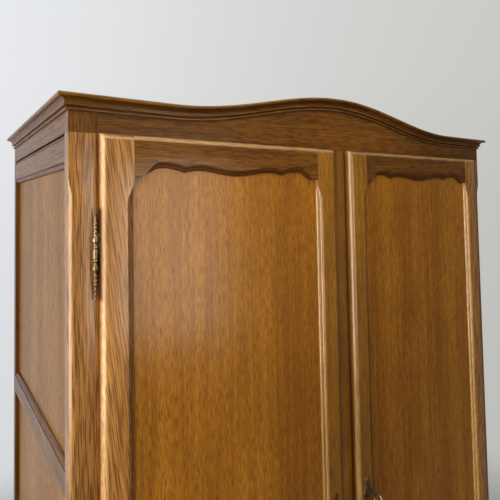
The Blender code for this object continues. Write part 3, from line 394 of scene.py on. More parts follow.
PLYWOOD = plain_wood("birch_plywood", "#C9A87C", "#A98455")
BRASS = worn_metal("aged_brass", "#8A7A5C", "#665740", 30, 0.36)
STEEL = worn_metal("zinc_plated_steel", "#A9A49A", "#7F7A71", 9, 0.34)
# Names for some finishes, which nothing in this script reads; the finishes not named here are lacquered oak
SLOTS = {VENEER.name: "oak_veneer", SIDE_VENEER.name: "oak_veneer", PLYWOOD.name: "plywood"}
SLOTS |= {BRASS.name: "antique_brass", STEEL.name: "lock_steel"}
print("metals:", BRASS.name, STEEL.name)

# %% [markdown]
# ## Making a piece
# A mesh is cleaned, gets smooth shading with sharp arrises, its grain and its material, and then rides on
# the body of the solid that it stands for. The grain is stored on the points: along the fibres first, then
# the two ways across, with a step aside for each board so that no two boards look alike.

# %% Pieces and their grain
AXES = {"X": (0, 2, 1), "Y": (1, 2, 0), "Z": (2, 0, 1)}
BOARD_STEP = Vector((0.731, 0.377, 0.193))
# Points nearer than this are one point
MERGE = 0.000002
made_pieces = []


def lay_grain(mesh, axis, slant=0.0, tone=0.0, step=None):
    """Store each point's place along and across the fibres, which may slant; tone may depend on the place."""
    step = Vector(step or BOARD_STEP * len(made_pieces))
    along, across, through = AXES[axis]
    mesh.attributes.new(GRAIN, "FLOAT_VECTOR", "POINT")
    for mark in (TONE, SHADE_AND_DIRT, WEAR_AND_HIGHLIGHT):
        if mark not in mesh.attributes:
            mesh.attributes.new(mark, "FLOAT", "POINT")
    places = []
    for vertex in mesh.vertices:
        u, v, w = vertex.co[along], vertex.co[across], vertex.co[through]
        turned = Vector((u * cos(slant) + v * sin(slant), v * cos(slant) - u * sin(slant), w))
        places.extend(turned + step)
    mesh.attributes[GRAIN].data.foreach_set("vector", places)
    tones = [tone(vertex.co) if callable(tone) else tone for vertex in mesh.vertices]
    mesh.attributes[TONE].data.foreach_set("value", tones)


def finish_piece(title, bm, material, grain=None, sharp=32, body=None):
    """Close a mesh, shade it, give it its wood or metal, and let it ride.

    The title is the solid that it replaces, or the name of an extra piece, which says its body.
    """
    node = None if body else title
    name = title if body else f"{title}_look"
    bmesh.ops.remove_doubles(bm, verts=bm.verts, dist=MERGE)
    bmesh.ops.recalc_face_normals(bm, faces=bm.faces)
    mesh = mesh_from(name, bm)
    mesh.shade_smooth()
    mesh.set_sharp_from_angle(angle=radians(sharp))
    mesh.materials.append(material)
    if grain:
        lay_grain(mesh, *grain)
    made = show(name, mesh)
    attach(made, body or BODY_OF[node])
    if node:
        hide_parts(node)
    made_pieces.append(name)
    return made


def mark_points(bm, marks):
    """Store marks of painted shade and dirt, and of highlight, on a mesh's points, in the order they are
    given.
    """
    shade_and_dirt = bm.verts.layers.float.new(SHADE_AND_DIRT)
    wear_and_highlight = bm.verts.layers.float.new(WEAR_AND_HIGHLIGHT)
    for vertex, (darkening, pale_share) in zip(bm.verts, marks):
        vertex[shade_and_dirt] = max(darkening, 0.0)
        vertex[wear_and_highlight] = pale_share


print("grain runs along", list(AXES))


# %% Curves and skins
def ease(share):
    """A smooth run from 0 to 1, level at both ends."""
    return (1 - cos(pi * min(max(share, 0.0), 1.0))) / 2


def spread(start, end, steps):
    """Evenly spaced values from start to end, both included."""
    return [start + (end - start) * i / steps for i in range(steps + 1)]


def arc(centre, reach, start, end, steps):
    """Points on an ellipse's arc, its angles in quarter turns."""
    turns = [t * pi / 2 for t in spread(start, end, steps)]
    return [(centre[0] + reach[0] * cos(t), centre[1] + reach[1] * sin(t)) for t in turns]


def band_of_faces(bm, near, far):
    """Faces between two closed rows of as many points."""
    for i in range(len(near)):
        j = (i + 1) % len(near)
        bm.faces.new((near[i], near[j], far[j], far[i]))


def loft(rings, marks):
    """A closed skin through equal sections, set back to the wardrobe's front; marks are for one or all."""
    bm = bmesh.new()
    around = len(rings[0])
    for x, y, z in (spot for ring in rings for spot in ring):
        bm.verts.new((x, y + FRONT, z))
    mark_points(bm, marks * len(rings) if len(marks) == around else marks)
    bm.verts.ensure_lookup_table()
    rows = [bm.verts[i:i + around] for i in range(0, len(bm.verts), around)]
    for near, far in zip(rows, rows[1:]):
        band_of_faces(bm, near, far)
    bm.faces.new(rows[0])
    bm.faces.new(rows[-1])
    return bm


print("a quarter of a circle in two steps:", [round(x, 3) for x, _ in arc((0, 0), (1, 1), 0, 1, 2)])

# %% [markdown]
# ## Plain boards
# Frieze, stubs, rails without a moulding, rear posts, panels and shelf are boards whose solids are right as
# they are, but a board that has been sanded and sprayed has no sharp arris. A copy of each solid is merged
# into whole faces, and a Bevel modifier rounds its edges by less than a millimetre, enough to catch the
# light. A board whose tone changes along its face is cut into strips first, so that its points can hold it.

# %% Boards with sanded edges
LOCK_HEIGHT, KEY_X = 1.020, 0.055
# Painted shade on the doors and lock stiles, deepest round the lock
LOCK_SHADE_DEPTH, LOCK_SHADE_WIDE, LOCK_SHADE_HIGH = 0.38, 0.16, 0.44
FRIEZE_PALE, FRIEZE_DROP, FRIEZE_AT, FRIEZE_WIDE = 0.10, 0.42, 0.02, 0.28


def lock_shade(x, z):
    """Painted shade on a door's face, deepest round the lock."""
    aside, above = (abs(x) - KEY_X) / LOCK_SHADE_WIDE, (z - LOCK_HEIGHT) / LOCK_SHADE_HIGH
    return LOCK_SHADE_DEPTH * exp(-aside * aside - above * above)


def frieze_tone(place):
    """The frieze is palest under the arch, where most light falls on it."""
    aside = (place.x - FRIEZE_AT) / FRIEZE_WIDE
    return FRIEZE_PALE - FRIEZE_DROP * (1 - exp(-aside * aside))


def sanded(node, material, grain, edge=0.0008, strips=(1, 1), shaded_round_lock=False):
    """A solid's copy with rounded edges, cut into strips where its tone or its painted shade varies."""
    bm = bmesh.new()
    bm.from_mesh(frame["nodes"][node].data)
    bmesh.ops.remove_doubles(bm, verts=bm.verts, dist=MERGE)
    bmesh.ops.dissolve_limit(bm, angle_limit=radians(1), verts=bm.verts, edges=bm.edges)
    low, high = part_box(node)
    cuts = [((x, 0, 0), (1, 0, 0)) for x in spread(low.x, high.x, strips[0])[1:-1]]
    cuts += [((0, 0, z), (0, 0, 1)) for z in spread(low.z, high.z, strips[1])[1:-1]]
    for place, facing in cuts:
        whole = [*bm.verts, *bm.edges, *bm.faces]
        bmesh.ops.bisect_plane(bm, geom=whole, plane_co=place, plane_no=facing)
    if shaded_round_lock:
        mark_points(bm, [(lock_shade(vertex.co.x, vertex.co.z), 0) for vertex in bm.verts])
    made = finish_piece(node, bm, material, grain)
    bevel = made.modifiers.new("sanded_edge", "BEVEL")
    bevel.width = edge
    bevel.segments = 2
    bevel.limit_method = "ANGLE"
    bevel.angle_limit = radians(40)
    bevel.harden_normals = True


# The value printed is the painted shade at the lock
print("grime by hands, at the lock:", lock_shade(KEY_X, LOCK_HEIGHT))

# %% Boards
# Each door's leaf of veneer is chosen for its figure: a light middle and a dark right edge on the left one
LEAVES = {"left": (12.17, 20.91, 7.88), "right": (13.889, 7.163, 3.667)}
THIN_EDGE, CASE_EDGE = 0.0005, 0.0006
sanded("crown_frieze", RAIL_OAK, ("X", 0.01, frieze_tone), strips=(26, 1))
sanded("front_top_rail", RAIL_OAK, ("X",))
sanded("front_apron", RAIL_OAK, ("X", -0.01))
sanded("centre_post", LOCK_OAK, ("Z", 0.0, -0.38))
for name, side in SIDES.items():
    sanded(f"crown_stub_{name}", RAIL_OAK, ("Z", 0.0, -0.12))
    sanded(f"crown_side_{name}", SIDE_OAK, ("Y",))
    sanded(f"rear_post_{name}", SIDE_OAK, ("Z", 0.0, -0.25))
    for place in ("lower", "middle", "upper"):
        sanded(f"side_{place}_panel_{name}", SIDE_VENEER, ("Z",))
    # The right door's panel is painted a little darker than the left's: painted shade, for less light on the
    # right
    leaf = ("Z", 0.0, 0.02 - 0.06 * side, LEAVES[name])
    sanded(f"{name}_door_panel", VENEER, leaf, strips=(12, 20), shaded_round_lock=True)
    sanded(f"{name}_door_lock_case", STEEL, None, CASE_EDGE)
    sanded(f"{name}_door_lock_bolt", STEEL, None, THIN_EDGE)
sanded("back_panel", PLYWOOD, ("Z",), THIN_EDGE)
sanded("crown_top_panel", PLYWOOD, ("X",), THIN_EDGE)
sanded("bottom_panel", VENEER, ("X",))
sanded("hat_shelf", VENEER, ("X",))
print("sanded boards:", len(made_pieces))

# %% [markdown]
# ## Cornice
# The crown's moulding is one profile: a thick lip, a hollow, a bead, a groove and a small bead. In front it
# rises over an arch, and at the corners it is mitred. A sweep along a bent curve would tip the profile, but
# a moulder keeps it upright, so a Geometry Nodes tree lays a grid: every column is the profile, moved to
# its place along the front and lifted by the arch's rule. The sides use the same profile, drawn straight.

# %% Profile of the cornice
END_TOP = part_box("crown_stub_left")[1].z
PROJECTION = 0.0200
LIP, LIP_EDGE, LIP_ROUND = 0.0075, 0.0022, 0.0035
COVE = 0.0095
BEAD, BEAD_OUT = 0.0036, 0.0085
QUIRK = 0.0034
SMALL, SMALL_OUT = 0.0040, 0.0050
# A hair's gap between pieces that lie against each other
SKIN = 0.0003


def cornice_profile():
    """Projection and depth under the top, from the back of the top round to the back of the foot."""
    lip_foot = PROJECTION - LIP_ROUND
    bead_core = BEAD_OUT - BEAD / 2
    small_core = SMALL_OUT - SMALL / 2
    bead_top = LIP + COVE
    quirk_top = bead_top + BEAD
    small_top = quirk_top + QUIRK
    points = [(SKIN, 0.0)] + arc((PROJECTION - LIP_EDGE, LIP_EDGE), (LIP_EDGE, LIP_EDGE), -1, 0, 4)
    points += arc((lip_foot, LIP - LIP_ROUND), (LIP_ROUND, LIP_ROUND), 0, 1, 8)
    points += arc((lip_foot, bead_top), (lip_foot - bead_core, COVE), 3, 2, 12)[1:]
    points += arc((bead_core, bead_top + BEAD / 2), (BEAD / 2, BEAD / 2), -1, 1, 10)[1:]
    points += [(small_core, quirk_top), (small_core, small_top)]
    points += arc((small_core, small_top + SMALL / 2), (SMALL / 2, SMALL / 2), -1, 1, 10)[1:]
    return points + [(SKIN, small_top + SMALL)]


def cornice_marks():
    """Marks per point: painted highlights on the lip and the beads, painted shade in the hollow and the
    groove.
    """
    lip = [(0, 0)] + [(0, 0.30)] * 5 + [(0, 0)] * 8 + [(0.35, 0)]
    cove = [(0.50 - 0.40 * i / 12, 0) for i in range(1, 13)]
    bead = [(0.40 - 0.45 * sin(pi * i / 10), 0.15 * sin(pi * i / 10)) for i in range(1, 11)]
    return lip + cove + bead + [(0.55, 0), (0.55, 0)] + bead + [(0.5, 0)]


profile = cornice_profile()
profile_marks = cornice_marks()
print("cornice profile:", len(profile), "points,", round(1000 * profile[-1][1], 1), "mm high")

# %% Tree that lays the front cornice over the arch
CORNICE_INPUTS = {"Steps": "Int", "Half Width": "Float", "End Height": "Float", "Arch Rise": "Float"}
CORNICE_INPUTS |= {"Arch Half Run": "Float", "Front": "Float", "Material": "Material"}


def geometry_tree(name, inputs):
    """An empty geometry tree with its named inputs, and the sockets that give them."""
    tree = bpy.data.node_groups.new(name, "GeometryNodeTree")
    for title, kind in {"Geometry": "Geometry", **inputs}.items():
        tree.interface.new_socket(title, in_out="INPUT", socket_type=f"NodeSocket{kind}")
    tree.interface.new_socket("Geometry", in_out="OUTPUT", socket_type="NodeSocketGeometry")
    return tree, add(tree, "NodeGroupInput", out=None)


tree, given = geometry_tree("arched_cornice", CORNICE_INPUTS)
points = add(tree, "GeometryNodeAttributeDomainSize", [given["Geometry"]], "Point Count")
grid = add(tree, "GeometryNodeMeshGrid", {2: given["Steps"], 3: points})
# A grid point's number gives its row, a point of the profile, and its column, a share of the front
index = add(tree, "GeometryNodeInputIndex")
row = add(tree, MATH, (index, points), operation="MODULO")
column = add(tree, MATH, (index, points), operation="DIVIDE")
column = add(tree, MATH, [column], operation="FLOOR")
last = add(tree, MATH, (given["Steps"], 1.0), operation="SUBTRACT")
share = add(tree, MATH, (column, last), operation="DIVIDE")
corner = add(tree, "GeometryNodeInputPosition")
drawn = add(tree, "GeometryNodeSampleIndex", (given["Geometry"], corner, row), data_type="FLOAT_VECTOR")
section = add(tree, "ShaderNodeSeparateXYZ", [drawn], None)
# The further out a point lies, the longer its line: that makes the mitre
reach = add(tree, MATH, (given["Half Width"], section["Y"]), operation="SUBTRACT")
place = add(tree, MATH, (share, 2.0, -1.0), operation="MULTIPLY_ADD")
place = add(tree, MATH, (place, reach), operation="MULTIPLY")
# The arch is one wave of a cosine, level at its ends and in the middle
run = add(tree, MATH, [place], operation="ABSOLUTE")
run = add(tree, MATH, (run, given["Arch Half Run"]), operation="DIVIDE")
run = add(tree, MATH, (run, 1.0), operation="MINIMUM")
wave = add(tree, MATH, (run, pi), operation="MULTIPLY")
wave = add(tree, MATH, [wave], operation="COSINE")
wave = add(tree, MATH, (wave, 0.5, 0.5), operation="MULTIPLY_ADD")
top = add(tree, MATH, (wave, given["Arch Rise"], given["End Height"]), operation="MULTIPLY_ADD")
height = add(tree, MATH, (top, section["Z"]), operation="ADD")
depth = add(tree, MATH, (section["Y"], given["Front"]), operation="ADD")
spot = add(tree, "ShaderNodeCombineXYZ", (place, depth, height))
laid = add(tree, "GeometryNodeSetPosition", {0: grid, 2: spot})
real = add(tree, "GeometryNodeRealizeInstances", [laid])
dressed = add(tree, "GeometryNodeSetMaterial", {"Geometry": real, "Material": given["Material"]})
add(tree, "NodeGroupOutput", [dressed], None)
ARCHED_CORNICE = tree
print("cornice tree:", len(tree.nodes), "nodes")

# %% Cornice pieces
CORNICE_STEPS = 181
ARCH_HALF_RUN = 0.455


def baked(holder):
    """The mesh that an object shows, with its modifiers or bevel; the object itself goes."""
    mesh = bpy.data.meshes.new_from_object(holder.evaluated_get(bpy.context.evaluated_depsgraph_get()))
    bpy.data.objects.remove(holder)
    bm = bmesh.new()
    bm.from_mesh(mesh)
    bpy.data.meshes.remove(mesh)
    return bm


def grown(start_mesh, tree, values):
    """Run a geometry tree on a mesh with the values of its named inputs, and return the mesh it makes."""
    holder = show("grower", start_mesh)
    modifier = holder.modifiers.new("tree", "NODES")
    modifier.node_group = tree
    for socket in tree.interface.items_tree:
        if socket.in_out == "INPUT" and socket.name in values:
            modifier[socket.identifier] = values[socket.name]
    return baked(holder)


outline = bpy.data.meshes.new("cornice_outline")
loop = profile + [profile[0]]
outline.from_pydata([(0, -out, -drop) for out, drop in loop], [(i, i + 1) for i in range(len(profile))], [])
arch = {"Arch Rise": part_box("cornice_front")[1].z - END_TOP, "Arch Half Run": ARCH_HALF_RUN}
values = {"Steps": CORNICE_STEPS, "Half Width": HALF_WIDTH - SKIN, "End Height": END_TOP, "Front": FRONT}
bm = grown(outline, ARCHED_CORNICE, {**values, **arch, "Material": CORNICE_OAK})
mark_points(bm, (profile_marks + profile_marks[:1]) * CORNICE_STEPS)
bmesh.ops.remove_doubles(bm, verts=bm.verts, dist=MERGE)
bmesh.ops.holes_fill(bm, edges=[edge for edge in bm.edges if edge.is_boundary])
finish_piece("cornice_front", bm, CORNICE_OAK, ("X",))
for name, side in SIDES.items():
    near = [(side * (HALF_WIDTH + out), SKIN - out, END_TOP - drop) for out, drop in profile]
    far = [(x, DEPTH, z) for x, _, z in near]
    finish_piece(f"cornice_{name}", loft([near, far], profile_marks), SIDE_OAK, ("Y",))
print("cornice pieces:", made_pieces[-3:])

# %% [markdown]
# ## Front posts
# Each post's outer corner is rounded, but the round stops in a tongue below the crown and above the floor,
# as a router leaves it. The post is lofted upwards through sections whose corner radius eases in and out.

# %% Front posts
CARCASS_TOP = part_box("front_post_left")[1].z
POST_WIDTH, POST_THICKNESS = 0.066, 0.024
CORNER, CORNER_ABOVE, CORNER_BELOW, TONGUE = 0.0105, 0.075, 0.190, 0.040
ARRIS = 0.0006


def corner_round(z):
    """Radius of a post's outer corner at a height."""
    above = ease((CARCASS_TOP - CORNER_ABOVE - z) / TONGUE)
    below = ease((z - CORNER_BELOW) / TONGUE)
    return max(CORNER * min(above, below), ARRIS)


def post_section(side, z):
    """Level section of a post: its rounded corner, its inner arris, its back."""
    radius = corner_round(z)
    ring = arc((radius, radius), (radius, radius), 2, 3, 8)
    ring += arc((POST_WIDTH - ARRIS, ARRIS), (ARRIS, ARRIS), 3, 4, 3)
    ring += [(POST_WIDTH, POST_THICKNESS), (0, POST_THICKNESS)]
    return [(side * (HALF_WIDTH - inward), y, z) for inward, y in ring]


heights = [0, *spread(CORNER_BELOW, CORNER_BELOW + TONGUE, 14)]
heights += [*spread(CARCASS_TOP - CORNER_ABOVE - TONGUE, CARCASS_TOP - CORNER_ABOVE, 14), CARCASS_TOP]
# Pale on the rounded corner, as painted highlight and worn wood, and dirty where the post meets the side
# panels
marks = [(0.35, 0)] + [(0, 0.5 * sin(pi * i / 8)) for i in range(1, 9)] + [(0, 0)] * 5 + [(0.35, 0)]
for name, side in SIDES.items():
    skin = loft([post_section(side, z) for z in heights], marks)
    finish_piece(f"front_post_{name}", skin, POST_OAK, ("Z", 0.02 * side, -0.12))
print("post:", round(1000 * POST_WIDTH), "x", round(1000 * POST_THICKNESS), "mm")

# %% [markdown]
# ## Side rails
# The rails between the side panels carry a quirk, a narrow sunk line, and an ovolo that rolls down to the
# panel. The section is drawn once and carried straight along the side.

# %% Side rails
RAIL_EDGE, QUIRK_WIDTH, QUIRK_DEPTH, OVOLO_SET = 0.010, 0.0015, 0.0030, 0.0008
PANEL_FACE, RAIL_BACK = 0.0097, 0.024
foot = RAIL_EDGE - QUIRK_WIDTH
rail_edge = [(0.0, RAIL_EDGE), (QUIRK_DEPTH, RAIL_EDGE), (QUIRK_DEPTH, foot)]
rail_edge += arc((PANEL_FACE, foot), (PANEL_FACE - OVOLO_SET, foot), 2, 3, 10)
# Painted shade in the quirk and down the ovolo to the panel
edge_marks = [(0, 0)] + [(0.85, 0)] * 2 + [(0.4 - 0.4 * sin(pi * i / 10), 0) for i in range(11)]
for name, side in SIDES.items():
    for place in ("bottom", "lower", "upper", "top"):
        node = f"side_{place}_rail_{name}"
        low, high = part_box(node)
        upper = [(inward, high.z - drop) for inward, drop in rail_edge]
        lower = [(inward, low.z + drop) for inward, drop in rail_edge]
        lower_marks = edge_marks
        if place == "bottom":
            lower, lower_marks = [(0.0, low.z)], [(0, 0)]
        ring = upper + [(RAIL_BACK, high.z), (RAIL_BACK, low.z)] + lower[::-1]
        marks = edge_marks + [(0, 0), (0, 0)] + lower_marks[::-1]
        ends = [low.y - FRONT, high.y - FRONT]
        skin = loft([[(side * (HALF_WIDTH - inward), y, z) for inward, z in ring] for y in ends], marks)
        finish_piece(node, skin, SIDE_OAK, ("Y",))
print("side rails:", len([piece for piece in made_pieces if "_rail_" in piece and piece.startswith("side")]))

# %% [markdown]
# ## Doors
# A door is two stiles, two rails and a thin panel. The stiles' outer edges are well rounded. Their inner
# edges have a moulding of two rounds, which runs out in a tongue at both ends. The top rail's lower edge is
# a scallop: a broad middle sag, a hump, a pointed cusp, a second hump and an ogee down to the stile. The
# bottom rail's upper edge is straight, and the mouldings of both rails run out before the stiles. One
# profile swept along an edge could not run out, so stiles and rails are lofted through many sections.

# %% Door sizes and the moulding
DOOR_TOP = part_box("left_door_hinge_stile")[1].z
DOOR_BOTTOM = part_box("left_door_hinge_stile")[0].z
DOOR_FACE, DOOR_BACK, GROOVE_FACE = -0.0230, -0.0010, -0.0123
DOOR_OUTER, DOOR_INNER, DOOR_MIDDLE, RAIL_HALF = 0.599, 0.025, 0.312, 0.2262
STILE, STILE_EDGE, STILE_STOP, STILE_TONGUE = 0.0605, 0.0135, 0.081, 0.046
EDGE_ROUND, END_ROUND = 0.012, 0.0115
BOTTOM_RAIL = 0.085
FIRST_ROUND, SHELF_SHARE, FACE_QUIRK, ROUND_STEPS = 0.50, 0.07, 0.0008, 7
# The painted shade along the edges of a door's back, in the gaps round the door, ends this far in
BACK_SHADE_END = 0.003


def moulding_steps():
    """Two rounds, one under the other: share of the moulding's width, distance behind the face."""
    deep = GROOVE_FACE - DOOR_FACE
    shelf = FACE_QUIRK + (deep - FACE_QUIRK) * FIRST_ROUND
    second = FIRST_ROUND + SHELF_SHARE
    upper = arc((0, shelf), (FIRST_ROUND, FACE_QUIRK - shelf), 1, 0, ROUND_STEPS)
    lower = arc((second, deep), (1 - second, shelf - deep), 1, 0, ROUND_STEPS)
    return [(0.0, 0.0)] + upper + lower


def moulding_marks(darkening, crest_highlight):
    """Marks over the two rounds: painted shade in the hollows, and painted highlights on the crests."""
    around = ROUND_STEPS + 1
    crests = [sin(pi * (i + 0.5) / around) for i in range(around)]
    return [(darkening * (1 - 0.9 * crest ** 2), crest_highlight * crest) for crest in crests] * 2


def end_face(z):
    """How far back the face lies at a height, because the door's ends are rounded."""
    past = max(z - DOOR_TOP, DOOR_BOTTOM - z) + END_ROUND
    share = min(max(past / END_ROUND, 0.0), 1.0)
    return DOOR_FACE + EDGE_ROUND * (1 - sqrt(1 - share * share))


MOULDING = moulding_steps()
print("door:", round(DOOR_OUTER - DOOR_INNER, 4), "m wide,", round(DOOR_TOP - DOOR_BOTTOM, 4), "m high")

# %% Sections and marks of a stile
HINGE_HEIGHTS = {"upper": 1.657, "lower": 0.330}
HINGE_HALF = 0.0815
# The painted shadow beside each hinge fades out over this height
HINGE_SHADOW_FADE = 0.012
# The hinge stiles get darker towards the door's top
TOP_DARKENING, TOP_DARKENING_FROM, TOP_DARKENING_RUN = 0.2, 1.68, 0.12
# The lock stiles' painted shade is drawn in sections between these heights
LOCK_SHADE_FROM, LOCK_SHADE_TO = 0.47, 1.52


def stile_arris(z):
    """Distance from a stile's outer edge to its moulding, which runs out at both ends."""
    above = ease((DOOR_TOP - STILE_STOP - z) / STILE_TONGUE)
    below = ease((z - DOOR_BOTTOM - STILE_STOP) / STILE_TONGUE)
    return STILE - STILE_EDGE * min(above, below)


def stile_section(edge, inward, z):
    """Level section of a stile: its rounded outer edge, its moulding and its back."""
    arris = stile_arris(z)
    ring = [(0, DOOR_BACK)] + arc((EDGE_ROUND, DOOR_FACE + EDGE_ROUND), (EDGE_ROUND, EDGE_ROUND), 2, 3, 10)
    ring += [(arris + (STILE - arris) * share, DOOR_FACE + deep) for share, deep in MOULDING]
    ring += [(STILE, DOOR_BACK), (STILE - BACK_SHADE_END, DOOR_BACK), (BACK_SHADE_END, DOOR_BACK)]
    face = end_face(z)
    return [(edge + inward * across, max(y, face), z) for across, y in ring]


def stile_marks(faces_left, hinged, z):
    """Painted shade and painted highlights round a stile at a height, for outer edges that face the light
    from the left and for those that face away.

    Beside a hinge its shadow is painted, the hinge stile darkens towards the door's top, and the lock stile
    gets painted shade round the lock.
    """
    # Painted shadow of the hinge on the wood beside it
    past = min(abs(z - height) for height in HINGE_HEIGHTS.values()) - HINGE_HALF
    hinge_shadow = 1 - ease(past / HINGE_SHADOW_FADE + 0.5) if hinged else 0.0
    # Painted highlight, with some worn wood, on the door's rounded ends
    end = 1 + max(z - DOOR_TOP, DOOR_BOTTOM - z) / END_ROUND
    pale_share = 0.8 * sin(pi * end) if end > 0 else 0.0
    # The hinge stile darker towards the door's top; the lock stile gets painted shade round the lock
    film = TOP_DARKENING * ease((z - TOP_DARKENING_FROM) / TOP_DARKENING_RUN) if hinged else lock_shade(KEY_X, z)
    turns = [pi * i / 20 for i in range(1, 11)]
    # An edge facing left gets a painted highlight on its round and painted shade on its moulding, which faces
    # right; an edge facing right gets painted shade on its round and highlights on its moulding
    if faces_left:
        first = 0.2 + 0.7 * hinge_shadow
        in_hinge_shadow = [(t, hinge_shadow * cos(t) ** 3) for t in turns]
        outer = [(0.95 * dark, 0.92 * sin(2 * t) * (1 - dark)) for t, dark in in_hinge_shadow]
        inner = [(max(darkening, 0.35), 0) for darkening, _ in moulding_marks(0.8, 0)]
    else:
        first = 0.9
        outer = [(0.8 * cos(t), 0) for t in turns]
        inner = moulding_marks(0.12, 0.95)
    # The door's back edges, in the gaps round the door, get painted shade
    marks = [(1.0, 0), (first, 0)] + outer + [(0, 0)] + inner + [(0.6, 0), (0, 0), (0, 0)]
    return [(darkening + film * (1 - wear_and_highlight), max(wear_and_highlight, pale_share)) for darkening, wear_and_highlight in marks]


print("points round a stile:", len(stile_section(0, 1, 1.0)), "and marks:", len(stile_marks(True, True, 1.0)))

# %% Stiles
rounded = [END_ROUND * (1 - sin(pi / 2 * share)) for share in spread(0, 1, 7)]
heights = [DOOR_BOTTOM + gap for gap in rounded] + [DOOR_TOP - gap for gap in rounded]
heights += spread(DOOR_BOTTOM + STILE_STOP, DOOR_BOTTOM + STILE_STOP + STILE_TONGUE, 16)
heights += spread(DOOR_TOP - STILE_STOP - STILE_TONGUE, DOOR_TOP - STILE_STOP, 16)
# Sections where the painted shadow beside each hinge begins and ends
for middle in HINGE_HEIGHTS.values():
    for end in (middle - HINGE_HALF, middle + HINGE_HALF):
        heights += spread(end - HINGE_SHADOW_FADE / 2, end + HINGE_SHADOW_FADE / 2, 4)
# Sections where the painted shade down the lock stiles changes
heights += spread(LOCK_SHADE_FROM, LOCK_SHADE_TO, 15)
heights.sort()
for name, side in SIDES.items():
    # The right lock stile is painted darker than the left one: painted shade, for less light on the right
    for part, material, edge, inward, slant, tone in (
        ("hinge", STILE_OAK, side * DOOR_OUTER, -side, 0.13 * side, 0.20),
        ("lock", LOCK_OAK, side * DOOR_INNER, side, 0.0, -0.20 - 0.07 * side),
    ):
        marks = [mark for z in heights for mark in stile_marks(inward > 0, part == "hinge", z)]
        skin = loft([stile_section(edge, inward, z) for z in heights], marks)
        finish_piece(f"{name}_door_{part}_stile", skin, material, ("Z", slant, tone))
print("stile sections:", len(heights))

# %% The scallop
CENTRE, INNER_HUMP, CUSP, OUTER_HUMP, OGEE = 0.0605, 0.0510, 0.0562, 0.0478, 0.0760
INNER_AT, CUSP_AT, OUTER_AT, OGEE_AT = 0.395, 0.535, 0.72, 0.935
OGEE_POWER = 1.75
SCALLOP_EDGE, SCALLOP_STOP = 0.0115, 0.82


def scallop(share):
    """Depth of the top rail's edge under the door's top, at a share of the half rail from its middle."""
    at = abs(share)
    if at < INNER_AT:
        return INNER_HUMP + (CENTRE - INNER_HUMP) * ease(1 - at / INNER_AT)
    if at < CUSP_AT:
        return INNER_HUMP + (CUSP - INNER_HUMP) * ((at - INNER_AT) / (CUSP_AT - INNER_AT)) ** 2
    if at < OUTER_AT:
        return OUTER_HUMP + (CUSP - OUTER_HUMP) * ((OUTER_AT - at) / (OUTER_AT - CUSP_AT)) ** 2
    run = min((at - OUTER_AT) / (OGEE_AT - OUTER_AT), 1)
    return OUTER_HUMP + (OGEE - OUTER_HUMP) * ease(run ** OGEE_POWER)


def rail_section(middle, share, edge, way):
    """Upright section of a rail: way is 1 for a top rail and -1 for a bottom rail."""
    width = SCALLOP_EDGE * (1 - ease((abs(share) - SCALLOP_STOP) / (OGEE_AT - SCALLOP_STOP)))
    ring = [(DOOR_BACK, edge - way * width)]
    ring += [(DOOR_FACE + deep, edge - way * width * part) for part, deep in reversed(MOULDING)]
    end = DOOR_TOP if way > 0 else DOOR_BOTTOM
    ring += arc((DOOR_FACE + EDGE_ROUND, end - way * END_ROUND), (EDGE_ROUND, way * END_ROUND), 2, 1, 8)
    ring += [(DOOR_BACK, end), (DOOR_BACK, edge - way * (width - BACK_SHADE_END))]
    return [(middle + RAIL_HALF * share, y, z) for y, z in ring]


print("depth of the scallop, in mm, from its middle:", [round(1000 * scallop(i / 4), 1) for i in range(5)])

# %% Door rails
half = spread(0, INNER_AT, 18)[:-1] + spread(INNER_AT, CUSP_AT, 9)[:-1] + spread(CUSP_AT, OUTER_AT, 12)[:-1]
half += spread(OUTER_AT, OGEE_AT, 24) + [1.0]
shares = [-share for share in half[:0:-1]] + half
for name, side in SIDES.items():
    middle = side * DOOR_MIDDLE
    top = [rail_section(middle, share, DOOR_TOP - scallop(share), 1) for share in shares]
    low = [rail_section(middle, share, DOOR_BOTTOM + BOTTOM_RAIL, -1) for share in shares]
    # Painted shade in the mouldings and at the back edge, more of it on the left door; painted highlights,
    # with some worn wood, on the doors' rounded ends
    dark = 0.10 - 0.08 * side
    marks = [(0.8, 0)] + [(dark + 0.75 * darkening, 0) for darkening, _ in reversed(moulding_marks(1, 0))]
    marks += [(0, 0)] + [(0, 0.85 * sin(pi * i / 8)) for i in range(9)] + [(0, 0)] * 2
    # The right door's rails are painted darker than the left's: painted shade, for less light on the right
    grain = ("X", 0.02 * side, 0.05 - 0.14 * side)
    for part, rings in (("top", top), ("bottom", low)):
        finish_piece(f"{name}_door_{part}_rail", loft(rings, marks), RAIL_OAK, grain)
print("rail sections:", len(shares))

# %% [markdown]
# ## Hinges
# Each hinge is a turned brass barrel with a finial at both ends: a small ball, rings that grow, and an
# olive. A lathe cuts smooth runs between the high and low rings, so the profile is a list of those rings
# with an eased run between each two, turned about the pin. Its two leaves are let into the wood.

# %% Turning, and blocks
HINGE_RADIUS = 0.0060
# Radius and height of the high and low rings, as shares of the barrel's radius and half length
RINGS = (
    (0.31, 0.960), (0.18, 0.915), (0.44, 0.865), (0.29, 0.815), (0.56, 0.765), (0.37, 0.710),
    (0.68, 0.655), (0.47, 0.610), (0.70, 0.570), (0.45, 0.520), (0.70, 0.475), (0.50, 0.435),
    (1.00, 0.300), (0.58, 0.190), (0.92, 0.145), (0.70, 0.108), (0.86, 0.085), (0.86, 0.002),
)


